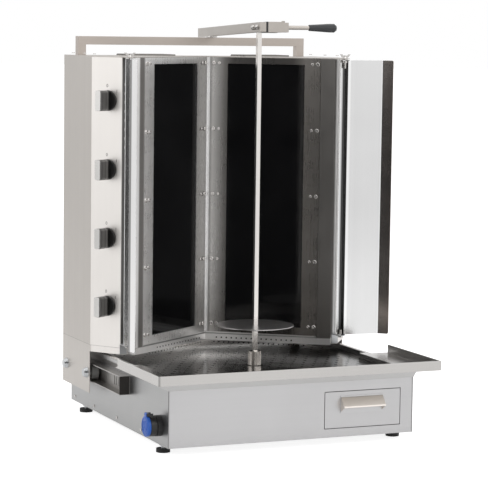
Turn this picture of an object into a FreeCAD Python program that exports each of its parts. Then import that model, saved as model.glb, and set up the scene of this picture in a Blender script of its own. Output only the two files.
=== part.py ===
import FreeCAD, Part
import math
import os
import re
import Sketcher

# Electric skewer grill: a heated column slides on rails over a base with a drip basin,
# a drawer and a gear motor; a portal and a swing arm hold the top of the turning skewer.
# Frame: millimetres, +X right, +Y to the rear, +Z up, origin on the floor at the base's centre.

doc = FreeCAD.newDocument("SkewerGrill")

sizes = [
    # stock and clearances
    ("gauge", 1.5, "sheet metal thickness"),
    ("heavyGauge", 2, "thickness of rails and brackets"),
    ("tubeSize", 20, "square tube of the portal"),
    ("slack", 0.3, "gap between pieces that move past each other"),
    ("boreFit", 0.05, "radial running clearance of a shaft in its hole"),
    ("seam", 1, "open joint between neighbouring sheets"),
    # base
    ("baseWidth", 600, "width of the base box"),
    ("baseDepth", 662, "depth of the base box"),
    ("footHeight", 20, "underside of the base above the floor"),
    ("footPad", 8.4, "thickness of a foot's rubber pad"),
    ("footRadius", 15.8, "radius of a foot's pad"),
    ("footInset", 15, "foot centre in from the side of the base"),
    ("footNear", 69, "feet in from the front and the rear of the base"),
    ("studRadius", 5, "radius of a foot's stud"),
    ("nutTall", 5, "height of a nut"),
    ("ventPitch", 30, "spacing of the base's rear vents"),
    ("ventWide", 12, "width of a rear vent"),
    ("ventTall", 40, "height of the rear vents"),
    ("ventRise", 35, "rear vents above the base's underside"),
    # worktop
    ("deckHeight", 170, "top of the worktop's ledge"),
    ("rimHeight", 20.5, "rim above the ledge"),
    ("rimWall", 3, "thickness of the hemmed rim"),
    ("rimSide", 43.5, "rim beyond the base at each side"),
    ("rimFront", 53.5, "rim ahead of the base"),
    ("rimRun", 262, "length of the rim's side walls"),
    ("ledgeRun", 274, "length of the wide front part of the worktop"),
    ("deckLip", 4, "narrow rear deck beyond the base at each side"),
    ("basinMargin", 23, "front part of the basin in from the base's sides"),
    ("basinEdge", 6, "rear part of the basin in from the base's sides"),
    ("basinNear", 13, "basin behind the base's front"),
    ("basinFar", 61, "basin ahead of the base's rear"),
    ("basinStep", 98, "where the basin widens, ahead of the centre"),
    ("basinDepth", 28.5, "depth of the basin below the ledge"),
    ("insertDrop", 13, "top of the perforated inserts below the ledge"),
    ("flareOut", 5.5, "flared collar beyond the base walls"),
    ("flareRise", 13, "height of the collar's sloping part"),
    ("flareBand", 8, "height of the collar's upright part"),
    ("insertGap", 1.5, "gap round the inserts and between them"),
    ("hubGap", 4.5, "insert's cut-out beyond the drive hub"),
    ("bossTall", 10, "height of the shaft's boss in the basin"),
    ("bossWall", 4, "wall of the shaft's boss"),
    ("drainRadius", 12, "radius of the drain"),
    ("drainFall", 20, "drain spout below the basin's floor"),
    ("drainShift", 20, "drain left of the drawer's centre"),
    ("drainAhead", 90, "drain ahead of the skewer"),
    # skewer drive
    ("skewerY", 109.5, "skewer axis ahead of the centre"),
    ("skewerBar", 10, "side of the square skewer bar"),
    ("hubRise", 20.5, "drive hub above the ledge"),
    ("plateRise", 82, "meat plate above the ledge"),
    ("hubRadius", 15.5, "radius of the drive hub"),
    ("shaftRadius", 6, "radius of the drive shaft"),
    ("plateRadius", 90, "radius of the meat plate"),
    ("plateGauge", 2, "thickness of the meat plate"),
    ("gearboxSide", 90, "side of the gearbox"),
    ("gearboxTall", 62, "height of the gearbox"),
    ("postTall", 12, "motor posts under the basin"),
    ("motorRadius", 36, "radius of the motor"),
    ("motorLength", 125, "length of the motor"),
    ("shaftSink", 25, "drive shaft inside the gearbox"),
    ("postInset", 10, "motor posts in from the gearbox's edges"),
    ("hubSocket", 24, "depth of the hub's square socket"),
    ("plateCollar", 14, "radius of the meat plate's collar"),
    ("collarTall", 14, "height of the meat plate with its collar"),
    # rails and rollers
    ("railDrop", 27, "rails below the ledge"),
    ("railClear", 4.5, "column's skirts clear of the rails"),
    ("railEnd", 9, "rails short of the base's rear"),
    ("railFront", 84, "front end of the rails ahead of the centre"),
    ("axleRadius", 4, "radius of a roller's axle bolt"),
    ("railSlotPitch", 14, "spacing of the slots in a rail's web"),
    ("railSlotWide", 5, "width of a slot"),
    ("railSlotInset", 9, "slots in from the rail's edges"),
    ("rollerRadius", 18, "radius of a roller"),
    ("rollerPlay", 3.5, "roller's play between the rail's flanges"),
    ("rollerRest", 0.8, "roller above the rail's lower flange"),
    ("rollerInset", 24.5, "front axles behind the front of the column's sides"),
    ("rollerSetback", 30, "rear axles ahead of the column's rear"),
    ("rollerGap", 3, "roller clear of the rail's web"),
    ("rollerChamfer", 1.5, "chamfer of a roller's rims"),
    ("axleShoulder", 7, "radius of an axle's shoulder"),
    ("axleHead", 13, "radius of an axle bolt's head"),
    ("axleDome", 9, "height of an axle bolt's head"),
    ("skirtBelow", 25.5, "skirts below the rails"),
    # heater column
    ("columnReach", 31, "column beyond the base at each side"),
    ("columnTall", 678, "height of the column above its pan"),
    ("columnSetback", 26, "column ahead of the base's rear"),
    ("sideRun", 202.5, "depth of the column's sides"),
    ("coverRecess", 17, "rear cover set in between the sides"),
    ("slantWide", 50, "slanted panels, across"),
    ("slantDeep", 69.5, "slanted panels, front to rear"),
    ("hingeInset", 7, "wing hinges in from the posts' corners"),
    ("hingeAhead", 32, "wing hinges ahead of the posts"),
    ("cheekInset", 20.5, "cheeks' front edges in from the hinges"),
    ("cheekAhead", 20, "cheeks' front edges ahead of the posts"),
    ("cheekWide", 29, "cheeks, across"),
    ("cheekDeep", 19.5, "cheeks, front to rear"),
    ("panelDeep", 163.7, "depth of the V of heating panels"),
    ("panGap", 4, "pan above the worktop"),
    ("panTall", 16, "height of the pan's band"),
    ("sillTall", 5, "sill under the panel frames"),
    ("frameFoot", 18, "frame below its window"),
    ("frameHead", 15, "frame above its window"),
    ("frameOuter", 38.9, "frame outside its window"),
    ("zoneSpare", 2, "heating zones reach beyond the window"),
    ("zoneShift", 7, "heating zones lie low in the window"),
    ("zoneGap", 10, "gap between two elements' trays"),
    ("windowInner", 48.8, "glass window from the apex, near edge"),
    ("frameGauge", 3, "depth of the panel frames"),
    ("glassGauge", 4, "thickness of the ceramic glass"),
    ("glassLap", 5, "glass behind its frame on each side"),
    ("trayDepth", 30, "depth of a heating element's tray"),
    ("trayHollow", 10, "hollow of an element's tray"),
    ("trayInset", 3, "trays in from the window's sides"),
    ("trayWall", 4, "rim of an element's tray"),
    ("ribbonWide", 6, "width of a heating ribbon"),
    ("ribbonTall", 3, "thickness of a heating ribbon"),
    ("railInset", 30, "carrier bars in from the window's sides"),
    ("carrierWide", 20, "width of a carrier bar"),
    ("carrierDepth", 8, "depth of a carrier bar"),
    ("cornerHalf", 5, "half of the strip along the inner corner"),
    ("sillLap", 5, "pan's sill behind the lower edge of the frames"),
    ("skirtSetback", 3.5, "front edge of the skirts behind that of the sides"),
    ("sideFlange", 15, "rear flange of the sides"),
    ("postReturn", 7, "flange of the slanted panels at the hinge posts"),
    ("coverFlange", 15, "side flanges of the rear cover"),
    ("coverSlotPitch", 150, "columns of the rear cover's slots"),
    ("coverSlotWide", 90, "width of a slot in the rear cover"),
    ("coverSlotStep", 22, "rows of slots in the rear cover"),
    ("coverSlotTall", 6, "height of a slot in the rear cover"),
    ("coverSlotDrop", 228, "lowest row of slots below the column's top"),
    ("earReach", 10, "top cover's ears round the hinge axes"),
    ("louvreX", 150, "rows of louvres, across"),
    ("louvreWide", 120, "width of a louvre"),
    ("louvreRun", 10, "depth of a louvre"),
    ("louvreTall", 4, "height of a louvre"),
    ("louvrePitch", 19, "spacing of the louvres"),
    ("louvreBack", 120, "first louvre ahead of the sides' rear edge"),
    # controls
    ("knobRadius", 24, "radius of a knob's skirt"),
    ("knobSkirt", 5, "height of a knob's skirt"),
    ("knobProud", 38, "height of a knob's grip above the panel"),
    ("knobShift", 4, "knobs to the right of the control panel's middle"),
    ("gripWidth", 17, "width of a knob's grip"),
    ("spindleRadius", 3, "radius of a regulator's spindle"),
    ("regulatorSide", 40, "side of a regulator"),
    ("regulatorDepth", 34, "depth of a regulator"),
    ("spindleProud", 15, "spindle beyond the control panel"),
    ("knobGap", 0.5, "gap behind a knob"),
    # wings
    ("wingGap", 5.3, "wings above the frames' lower edges"),
    ("hingeWasher", 2, "washers over the wings"),
    ("wingFace", 89, "width of a wing's main face"),
    ("wingFlange", 27, "width of a wing's free flange"),
    ("hingeBack", 9, "hinge flange behind the pivot axis"),
    ("pivotRadius", 3, "radius of the pivot bolts"),
    ("earGauge", 1.5, "thickness of the hinge ears"),
    ("earHalf", 8.5, "half width of the hinge ears"),
    ("wingCorner", 4, "corner radius of a wing's free flange"),
    ("flangeAngle", 36, "bend of a wing's free flange, degrees"),
    ("headRadius", 5.5, "radius of the hinge bolts' heads and nuts"),
    ("headTall", 3.5, "height of the lower hinge screws' heads"),
    ("screwRise", 12, "lower hinge screw inside the wing"),
    ("boltDrop", 18, "upper hinge bolt below its nut's top"),
    ("wingNutTall", 7, "height of a wing nut"),
    ("wingNutReach", 14, "reach of a wing nut's ears"),
    # portal and arm
    ("portalSide", 16.5, "portal in from the column's rear flanges"),
    ("portalClear", 6.4, "portal behind the rear cover"),
    ("portalRise", 44.8, "portal above the column"),
    ("armPivotX", 52, "arm pivot to the right of the centre"),
    ("armWide", 15, "width of the arm"),
    ("armTall", 22, "height of the arm"),
    ("armWall", 1.5, "wall of the arm"),
    ("armNose", 32.5, "arm ahead of the skewer axis"),
    ("armTail", 103, "arm behind its pivot"),
    ("armTilt", 1.75, "rise of the arm towards the skewer, degrees"),
    ("tubeWall", 2, "wall of the portal's tube"),
    ("footLap", 25, "portal's foot plates beyond the tube"),
    ("pivotBolt", 3, "radius of the arm's pivot bolt"),
    ("pivotNut", 5.5, "radius of the pivot bolt's nut"),
    ("pivotStem", 10, "pivot bolt above the portal"),
    ("washerTall", 2.5, "thickness of the arm's washer"),
    ("washerRadius", 14, "radius of the arm's washer"),
    ("blockRun", 50, "length of the bearing block"),
    ("bushTall", 3.5, "height of the pin's lower bush"),
    ("boltRadius", 3, "radius of the arm's cross bolts"),
    ("nutRadius", 5.5, "radius of the domed nuts"),
    ("domeTall", 8, "height of the domed nuts"),
    ("forkRun", 65, "length of the lever's fork"),
    ("forkDrop", 1, "fork below the arm"),
    ("forkRise", 1, "fork above the arm"),
    ("pivotInset", 8, "lever's pivot pin in from the fork's faces"),
    ("reliefRun", 7, "fork's recess for the turning hub"),
    ("leverPivot", 30, "lever's pivot to the right of the skewer"),
    ("hubWide", 22, "lever's hub along the arm"),
    ("tongueWide", 13, "width of the lever's tongue"),
    ("tongueLow", 5.5, "underside of the tongue"),
    ("tongueTip", 3, "thickness of the tongue's tip"),
    ("tongueHalf", 6, "tongue above the pivot"),
    ("tongueRun", 20, "thin part of the tongue"),
    ("tongueSlot", 5, "slot for the pin in the tongue"),
    ("screwRadius", 4, "radius of the lever's set screw"),
    ("screwTall", 4, "height of the lever's set screw"),
    ("gripSink", 15, "rod inside the grip"),
    ("gripThin", 7, "radius of the grip's inner end"),
    ("gripThick", 10, "radius of the grip's outer end"),
    ("pinSink", 6, "centre pin inside the skewer"),
    ("pinCollar", 8.8, "collar above the arm's underside"),
    ("collarThick", 2, "thickness of the pin's collar"),
    ("collarRadius", 5.5, "radius of the pin's collar"),
    ("boltSpacing", 31, "distance between the two arm bolts"),
    ("spacerWide", 12.5, "outer face of the plastic spacer from the arm's centre"),
    ("forkWide", 35, "width of the lever's fork"),
    ("leverHub", 20, "width of the lever's hub"),
    ("leverRod", 52, "visible length of the lever's rod"),
    ("leverRodRadius", 4.8, "radius of the lever's rod"),
    ("leverGrip", 66, "length of the lever's grip"),
    ("pinRadius", 3, "radius of the centre pin"),
    # drawer
    ("drawerInset", 127.5, "drawer's centre in from the base's right side"),
    ("drawerRise", 21, "drawer's front above the base's underside"),
    ("drawerHigh", 82.5, "height of the drawer's front"),
    ("boxRise", 4, "drawer's box above its front's lower edge"),
    ("pullDrop", 9.5, "cup pull below the front's upper edge"),
    ("pullTall", 37, "height of the cup pull"),
    ("drawerWidth", 189, "width of the drawer's front"),
    ("drawerGap", 1.5, "gap round the drawer's front"),
    ("drawerRun", 360, "depth of the drawer's box"),
    ("drawerSide", 10, "drawer's box in from the front's edges"),
    ("drawerTall", 70, "height of the drawer's box"),
    ("runnerWide", 12, "flanges of the drawer's runners"),
    ("runnerSetback", 5, "front end of the runners behind the base's front"),
    ("pullShift", 3, "cup pull left of the drawer's centre"),
    ("pullFall", 22, "top of the cup pull slopes down by this"),
    ("pullLip", 3, "height of the cup pull's front edge"),
    ("pullWidth", 107, "width of the cup pull"),
    ("pullDepth", 20, "cup pull ahead of the drawer's front"),
    # power inlet
    ("inletSide", 50, "power inlet behind the base's front"),
    ("inletRise", 43.5, "power inlet above the base's underside"),
    ("inletRadius", 23, "radius of the inlet's body"),
    ("inletReach", 28, "inlet's body beyond the base"),
    ("lidThick", 8, "thickness of the inlet's lid"),
    ("inletWall", 4, "wall of the inlet's body"),
    ("inletSink", 20, "inlet inside the base"),
    ("inletFlange", 12, "collar of the inlet on the base"),
    ("lidPivot", 4, "lid's hinge above the inlet's body"),
    ("lidPin", 1.5, "radius of the lid's hinge pin"),
    ("lugGap", 12, "gap between the inlet's hinge lugs"),
    ("lugWide", 4, "width of a hinge lug"),
    ("lugRun", 8, "hinge lugs along the inlet's body"),
    ("contactRing", 9, "contacts from the inlet's axis"),
    ("contactRadius", 2.5, "radius of a contact"),
]

# places that follow from the sizes
places = {
    "columnHalf": "baseWidth / 2 + columnReach",
    "railReach": "columnReach - gauge - railClear",
    "rollerWidth": "railReach - heavyGauge * 2 - rollerGap - seam",
    "railTop": "deckHeight - railDrop",
    "railHeight": "rollerRadius * 2 + heavyGauge * 2 + rollerPlay",
    "railRear": "baseDepth / 2 - railEnd",
    "columnRear": "baseDepth / 2 - columnSetback",
    "rollerFront": "sideFront + rollerInset",
    "rollerRear": "columnRear - rollerSetback",
    "coverRear": "columnRear - coverRecess",
    "sideFront": "columnRear - sideRun",
    "postX": "columnHalf - slantWide",
    "postY": "sideFront - slantDeep",
    "hingeX": "postX - hingeInset",
    "hingeY": "postY - hingeAhead",
    "cheekX": "hingeX - cheekInset",
    "cheekY": "postY - cheekAhead",
    "panelX": "cheekX - cheekWide",
    "panelY": "cheekY + cheekDeep",
    "apexY": "panelY + panelDeep",
    "panFloor": "deckHeight + panGap",
    "panTop": "panFloor + panTall",
    "columnTop": "panTop + columnTall",
    "skirtBottom": "railTop - railHeight - skirtBelow",
    "frameBottom": "panTop + sillTall",
    "windowBottom": "frameBottom + frameFoot",
    "windowTop": "sheetTop - frameHead",
    "windowOuter": "panelRun - frameOuter",
    "zonePitch": "(windowTop - windowBottom + zoneSpare) / 4",
    "zoneBottom": "windowBottom + zonePitch / 2 - zoneShift",
    "zoneTall": "zonePitch - zoneGap",
    "coverSlotLow": "columnTop - coverSlotDrop",
    "louvreY": "columnRear - louvreBack",
    "wingBottom": "frameBottom + wingGap",
    "wingTop": "sheetTop - hingeWasher",
    "plateHeight": "deckHeight + plateRise",
    "hubTop": "deckHeight + hubRise",
    "gearboxTop": "basinFloor - gauge - postTall",
    "gearboxBottom": "gearboxTop - gearboxTall",
    "portalHalf": "columnHalf - sideFlange - portalSide",
    "portalY": "coverRear + portalClear",
    "portalTop": "columnTop + portalRise",
    "armHeight": "portalTop + washerTall + slack / 3 + (washerRadius + armRun) * sin(armTilt)",
    "basinSide": "baseWidth / 2 - basinMargin",
    "basinWide": "baseWidth / 2 - basinEdge",
    "basinFront": "baseDepth / 2 - basinNear",
    "basinRear": "baseDepth / 2 - basinFar",
    "footFront": "baseDepth / 2 - footNear",
    "ventLow": "footHeight + ventRise",
    "drawerX": "baseWidth / 2 - drawerInset",
    "drawerBottom": "footHeight + drawerRise",
    "drawerTop": "drawerBottom + drawerHigh",
    "drawerFloor": "drawerBottom + boxRise",
    "pullTop": "drawerTop - pullDrop",
    "pullBottom": "pullTop - pullTall",
    "inletY": "baseDepth / 2 - inletSide",
    "inletZ": "footHeight + inletRise",
    "halfWidth": "baseWidth / 2",
    "halfDepth": "baseDepth / 2",
    "rimX": "baseWidth / 2 + rimSide",
    "rimY": "baseDepth / 2 + rimFront",
    "deckX": "baseWidth / 2 + deckLip",
    "wallTop": "deckHeight - gauge",
    "sheetTop": "columnTop - heavyGauge",
    "basinFloor": "deckHeight - basinDepth",
    "insertTop": "deckHeight - insertDrop",
    "hubBottom": "insertTop + seam",
    "railMid": "railTop - railHeight + heavyGauge + rollerRest + rollerRadius",
    "skewerTop": "armHeight - seam",
    "bracketTop": "wingBottom - slack * 2",
    "glassBack": "-frameGauge - glassGauge",
    "drainX": "drawerX - drainShift",
    "drainY": "-skewerY - drainAhead",
    "cheekBackX": "cheekX + hingeBack",
    "panelRun": "sqrt(panelX ^ 2 + (apexY - panelY) ^ 2)",
    "armRun": "sqrt(armPivotX ^ 2 + (portalY + tubeSize / 2 + skewerY) ^ 2)",
}

sheet = doc.addObject("Spreadsheet::Sheet", "Size")
aliases = set()
for row, (alias, number, note) in enumerate(sizes, 1):
    sheet.set(f"A{row}", note)
    sheet.set(f"B{row}", str(number))
    sheet.setAlias(f"B{row}", alias)
    aliases.add(alias)
doc.recompute()
up = FreeCAD.Vector(0, 0, 1)


# ---- helpers ---------------------------------------------------------------------------

def formula(text):
    """An expression in the sheet's aliases: places are written out, and the sheet's name goes before each alias."""
    def spell(word):
        if word[0] in places:
            return f"({formula(places[word[0]])})"
        return "Size." + word[0] if word[0] in aliases else word[0]
    return re.sub(r"[A-Za-z]\w*", spell, str(text))


def value(text):
    """The number that a formula stands for."""
    return float(sheet.evalExpression(formula(text)))


def vector(x, y, z):
    return FreeCAD.Vector(value(x), value(y), value(z))


def rectangle(left, right, low, high):
    return [(left, low), (right, low), (right, high), (left, high)]


def drawPath(sketch, points, closed=True):
    """Straight lines through points whose coordinates stay bound to the sheet."""
    spots = [FreeCAD.Vector(value(x), value(y), 0) for x, y in points]
    ends = list(zip(spots, spots[1:] + spots[:1])) if closed else list(zip(spots, spots[1:]))
    first = sketch.GeometryCount
    for start, end in ends:
        sketch.addGeometry(Part.LineSegment(start, end))
    for index in range(len(ends) - 1):
        sketch.addConstraint(Sketcher.Constraint("Coincident", first + index, 2, first + index + 1, 1))
    if closed:
        sketch.addConstraint(Sketcher.Constraint("Coincident", first + len(ends) - 1, 2, first, 1))
    for index, (x, y) in enumerate(points):
        line, end = (first + index, 1) if index < len(ends) else (first + index - 1, 2)
        for kind, text in (("DistanceX", x), ("DistanceY", y)):
            slot = sketch.addConstraint(Sketcher.Constraint(kind, -1, 1, line, end, value(text)))
            sketch.setExpression(f"Constraints[{slot}]", formula(text))


def drawCircles(sketch, centres, radius):
    for x, y in centres:
        circle = sketch.addGeometry(Part.Circle(FreeCAD.Vector(value(x), value(y), 0), FreeCAD.Vector(0, 0, 1), value(radius)))
        for kind, text in (("DistanceX", x), ("DistanceY", y)):
            slot = sketch.addConstraint(Sketcher.Constraint(kind, -1, 1, circle, 3, value(text)))
            sketch.setExpression(f"Constraints[{slot}]", formula(text))
        slot = sketch.addConstraint(Sketcher.Constraint("Radius", circle, value(radius)))
        sketch.setExpression(f"Constraints[{slot}]", formula(radius))


def newBody(name, placement=None):
    body = doc.addObject("PartDesign::Body", name)
    body.Label = name
    if placement:
        body.Placement = placement
    return body


def sketchOn(body, plane, level):
    """A sketch on one of the body's origin planes, moved along the plane's normal axis to level."""
    sketch = body.newObject("Sketcher::SketchObject", body.Name + "Sketch")
    sketch.AttachmentSupport = [(originPart(body, plane + "_Plane"), "")]
    sketch.MapMode = "FlatFace"
    sign = "-1" if plane == "XZ" else "1"
    sketch.setExpression("AttachmentOffset.Base.z", formula(f"({level}) * {sign}"))
    return sketch


def fill(sketch, shapes, radius=None):
    for shape in shapes:
        if radius is None:
            drawPath(sketch, shape)
    if radius is not None:
        drawCircles(sketch, shapes, radius)


def addPad(body, plane, loops, low, high, radius=None):
    """Material between two levels: loops of points, or circle centres when a radius is given."""
    sketch = sketchOn(body, plane, high if plane == "XZ" else low)
    fill(sketch, loops, radius)
    pad = body.newObject("PartDesign::Pad", body.Name + "Pad")
    pad.Profile = sketch
    pad.setExpression("Length", formula(f"({high}) - ({low})"))
    sketch.Visibility = False
    return pad


def addPocket(body, plane, loops, low, high, radius=None):
    """A cut between two levels."""
    sketch = sketchOn(body, plane, low if plane == "XZ" else high)
    fill(sketch, loops, radius)
    pocket = body.newObject("PartDesign::Pocket", body.Name + "Pocket")
    pocket.Profile = sketch
    pocket.setExpression("Length", formula(f"({high}) - ({low})"))
    return pocket


def padBody(name, plane, loops, low, high, placement=None):
    body = newBody(name, placement)
    addPad(body, plane, loops, low, high)
    return body


def turned(name, profile, placement=None):
    """A body of revolution about its own Z axis; the profile holds (radius, height) points."""
    body = newBody(name, placement)
    sketch = sketchOn(body, "XZ", 0)
    drawPath(sketch, profile)
    turn = body.newObject("PartDesign::Revolution", name + "Turn")
    turn.Profile = sketch
    turn.ReferenceAxis = (sketch, ["V_Axis"])
    turn.Angle = 360
    return body


planeTurns = {
    "XY": FreeCAD.Rotation(),
    "XZ": FreeCAD.Rotation(FreeCAD.Vector(1, 0, 0), 90),
    "YZ": FreeCAD.Rotation(FreeCAD.Vector(0, 1, 0), up, FreeCAD.Vector(1, 0, 0), "ZXY"),
}


def looseSketch(name, plane, path, low, high, closed):
    """A sketch across an axis of the frame, placed at the level that an extrusion starts from."""
    sketch = doc.addObject("Sketcher::SketchObject", name)
    drawPath(sketch, path, closed)
    sketch.Placement = FreeCAD.Placement(FreeCAD.Vector(), planeTurns[plane])
    letter, level = {"XY": ("z", low), "XZ": ("y", high), "YZ": ("x", low)}[plane]
    sketch.setExpression("Placement.Base." + letter, formula(level))
    return sketch


def extrude(name, base, plane, low, high):
    solid = doc.addObject("Part::Extrusion", name)
    solid.Base = base
    solid.DirMode = "Custom"
    solid.Dir = planeTurns[plane].multVec(up)
    solid.Solid = True
    solid.setExpression("LengthFwd", formula(f"({high}) - ({low})"))
    return solid


def plate(name, plane, outline, low, high):
    """A flat piece with a straight-sided outline between two levels."""
    return extrude(name, looseSketch(name + "Outline", plane, outline, low, high, True), plane, low, high)


def foldedSheet(name, plane, path, low, high, side=1, thickness="gauge"):
    """Sheet metal bent along an open path and run between two levels; side says which way it thickens."""
    band = doc.addObject("Part::Offset2D", name + "Band")
    band.Source = looseSketch(name + "Path", plane, path, low, high, False)
    band.Join = 2
    band.Mode = "Skin"
    band.Fill = True
    band.setExpression("Value", formula(f"({thickness}) * {side}"))
    return extrude(name, band, plane, low, high)


def box(name, x, y, z):
    solid = doc.addObject("Part::Box", name)
    for size, span, axis in (("Length", x, "x"), ("Width", y, "y"), ("Height", z, "z")):
        solid.setExpression(size, formula(f"({span[1]}) - ({span[0]})"))
        solid.setExpression("Placement.Base." + axis, formula(span[0]))
    return solid


turns = {
    "x": FreeCAD.Rotation(FreeCAD.Vector(0, 1, 0), 90),
    "y": FreeCAD.Rotation(FreeCAD.Vector(1, 0, 0), -90),
    "z": FreeCAD.Rotation(),
}


def rod(name, axis, across, span, radius):
    """A cylinder along a world axis; across holds its two other coordinates in X, Y, Z order."""
    solid = doc.addObject("Part::Cylinder", name)
    solid.Placement = FreeCAD.Placement(FreeCAD.Vector(), turns[axis])
    places = list(across)
    places.insert("xyz".index(axis), span[0])
    for letter, text in zip("xyz", places):
        solid.setExpression("Placement.Base." + letter, formula(text))
    solid.setExpression("Radius", formula(radius))
    solid.setExpression("Height", formula(f"({span[1]}) - ({span[0]})"))
    return solid


def fuse(name, parts):
    whole = doc.addObject("Part::MultiFuse", name)
    whole.Shapes = parts
    whole.Refine = True
    return whole


def cut(name, base, tools):
    left = doc.addObject("Part::Cut", name)
    left.Base = base
    left.Tool = tools[0] if len(tools) == 1 else fuse(name + "Tools", tools)
    left.Refine = True
    return left


def group(name, parts):
    several = doc.addObject("Part::Compound", name)
    several.Links = parts
    return several


def mirrored(name, source):
    """The other hand of a piece, across the object's middle plane."""
    copy = doc.addObject("Part::Mirroring", name)
    copy.Source = source
    copy.Normal = (1, 0, 0)
    return copy


def originPart(body, role):
    return [feature for feature in body.Origin.OriginFeatures if feature.Role == role][0]


# ---- shared places -----------------------------------------------------------------------

skewerPlace = FreeCAD.Placement(vector(0, "-skewerY", 0), FreeCAD.Rotation())
flangeTurn = math.radians(value("flangeAngle"))
apex = vector(0, "apexY", 0)
panelLength = math.hypot(value("panelX"), value("apexY - panelY"))
panelOut = FreeCAD.Vector(value("panelX"), value("panelY - apexY"), 0) / panelLength
facing = panelOut.x


def panelPlace(side):
    """Local frame of a heating panel: x along the panel to the right, y up, z towards the skewer."""
    along = FreeCAD.Vector(panelOut.x, side * panelOut.y, 0)
    facing = along.cross(up)
    return FreeCAD.Placement(apex, FreeCAD.Rotation(along, up, facing, "ZXY"))


def panelSpan(side, near, far):
    return (near, far) if side > 0 else (f"-({far})", f"-({near})")


slant = vector("columnHalf - postX", "postY - sideFront", 0)
slantOut = slant / slant.Length


def controlPlace(height):
    """Local frame of a knob on the control panel: x to the right, y up, z outwards."""
    middle = vector("-(columnHalf + postX) / 2", "(sideFront + postY) / 2", height)
    frame = FreeCAD.Placement(middle, FreeCAD.Rotation(slantOut, up, slantOut.cross(up), "ZXY"))
    return frame.multiply(FreeCAD.Placement(vector("knobShift", 0, 0), FreeCAD.Rotation()))


armStart = vector(0, "-skewerY", "armHeight")
armReach = vector("armPivotX", "portalY + tubeSize / 2 + skewerY", 0)
armYaw = math.degrees(math.atan2(armReach.x, armReach.y))
armTurn = FreeCAD.Rotation(up, -armYaw) * FreeCAD.Rotation(FreeCAD.Vector(1, 0, 0), -value("armTilt"))
armPlace = FreeCAD.Placement(armStart, armTurn)


def zoneHeight(index):
    return f"zoneBottom + zonePitch * {index}"


railSide = -1
bandSide = -1
sillSide = -1
leftSide = -1
rightSide = 1
controlSide = -1
cheekSide = -1
coverSide = 1
stripSide = -1
wingSide = 1
bracketSide = -1
runnerSide = -1


# ---- base ---------------------------------------------------------------------------------

def makeBase():
    opening = rectangle("drawerX - drawerWidth / 2 - drawerGap", "drawerX + drawerWidth / 2 + drawerGap",
                        "drawerBottom - drawerGap", "drawerTop + drawerGap")
    front = padBody("base_front", "XZ", [rectangle("-halfWidth", "halfWidth", "footHeight", "wallTop"), opening],
                    "-halfDepth", "-halfDepth + gauge")
    walls = foldedSheet("shellWalls", "XY", [("-halfWidth", "-halfDepth + gauge"), ("-halfWidth", "halfDepth"),
                        ("halfWidth", "halfDepth"), ("halfWidth", "-halfDepth + gauge")], "footHeight", "wallTop")
    inletHole = rod("inletHole", "x", ("-inletY", "inletZ"), ("-halfWidth - gauge", "-halfWidth + gauge * 2"),
                    "inletRadius - inletWall")
    vents = [box(f"vent{index}", (f"ventPitch * {index - 4} - ventWide / 2", f"ventPitch * {index - 4} + ventWide / 2"),
                 ("halfDepth - gauge * 2", "halfDepth + gauge"), ("ventLow", "ventLow + ventTall"))
             for index in range(9)]
    cut("base_shell", walls, [inletHole] + vents)
    box("base_bottom", ("-halfWidth + gauge", "halfWidth - gauge"),
        ("-halfDepth + gauge", "halfDepth - gauge"), ("footHeight", "footHeight + gauge"))


def makeFeet():
    pads, studs = [], []
    for number, (sideways, along) in enumerate([(-1, "-footFront"), (1, "-footFront"), (-1, "footFront"), (1, "footFront")]):
        spot = (f"(halfWidth - footInset) * {sideways}", along)
        pads.append(rod(f"footPad{number}", "z", spot, ("0", "footPad"), "footRadius"))
        stem = rod(f"footStem{number}", "z", spot, ("footPad", "footHeight"), "studRadius")
        nut = rod(f"footNut{number}", "z", spot, ("footHeight - nutTall", "footHeight"), "studRadius * 1.8")
        studs.append(fuse(f"footStud{number}", [stem, nut]))
    group("feet", pads)
    group("foot_studs", studs)


def basinOutline(grow):
    narrow, wide = f"(basinSide + {grow})", f"(basinWide + {grow})"
    near, step, far = f"-basinFront - {grow}", f"-basinStep - {grow}", f"basinRear + {grow}"
    return [(f"-{narrow}", near), (narrow, near), (narrow, step), (wide, step), (wide, far),
            (f"-{wide}", far), (f"-{wide}", step), (f"-{narrow}", step)]


def makeWorktop():
    body = newBody("worktop")
    ledgeEnd, rimEnd = "-rimY + ledgeRun", "-rimY + rimRun"
    outline = [("-rimX", "-rimY"), ("rimX", "-rimY"), ("rimX", ledgeEnd), ("deckX", ledgeEnd), ("deckX", "halfDepth"),
               ("-deckX", "halfDepth"), ("-deckX", ledgeEnd), ("-rimX", ledgeEnd)]
    addPad(body, "XY", [outline], "wallTop", "deckHeight")
    wall = [("-rimX", "-rimY"), ("rimX", "-rimY"), ("rimX", rimEnd), ("rimX - rimWall", rimEnd),
            ("rimX - rimWall", "-rimY + rimWall"), ("-rimX + rimWall", "-rimY + rimWall"),
            ("-rimX + rimWall", rimEnd), ("-rimX", rimEnd)]
    addPad(body, "XY", [wall], "deckHeight", "deckHeight + rimHeight")
    addPad(body, "XY", [basinOutline("gauge")], "basinFloor - gauge", "wallTop")
    addPocket(body, "XY", [basinOutline("0")], "basinFloor", "deckHeight")
    addPad(body, "XY", [("0", "-skewerY")], "basinFloor", "basinFloor + bossTall", "shaftRadius + bossWall")
    addPocket(body, "XY", [("0", "-skewerY")], "basinFloor - gauge", "basinFloor + bossTall", "shaftRadius + boreFit")
    addPad(body, "XY", [("drainX", "drainY")], "basinFloor - drainFall", "basinFloor - gauge", "drainRadius + gauge")
    addPocket(body, "XY", [("drainX", "drainY")], "basinFloor - drainFall", "basinFloor", "drainRadius")


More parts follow.
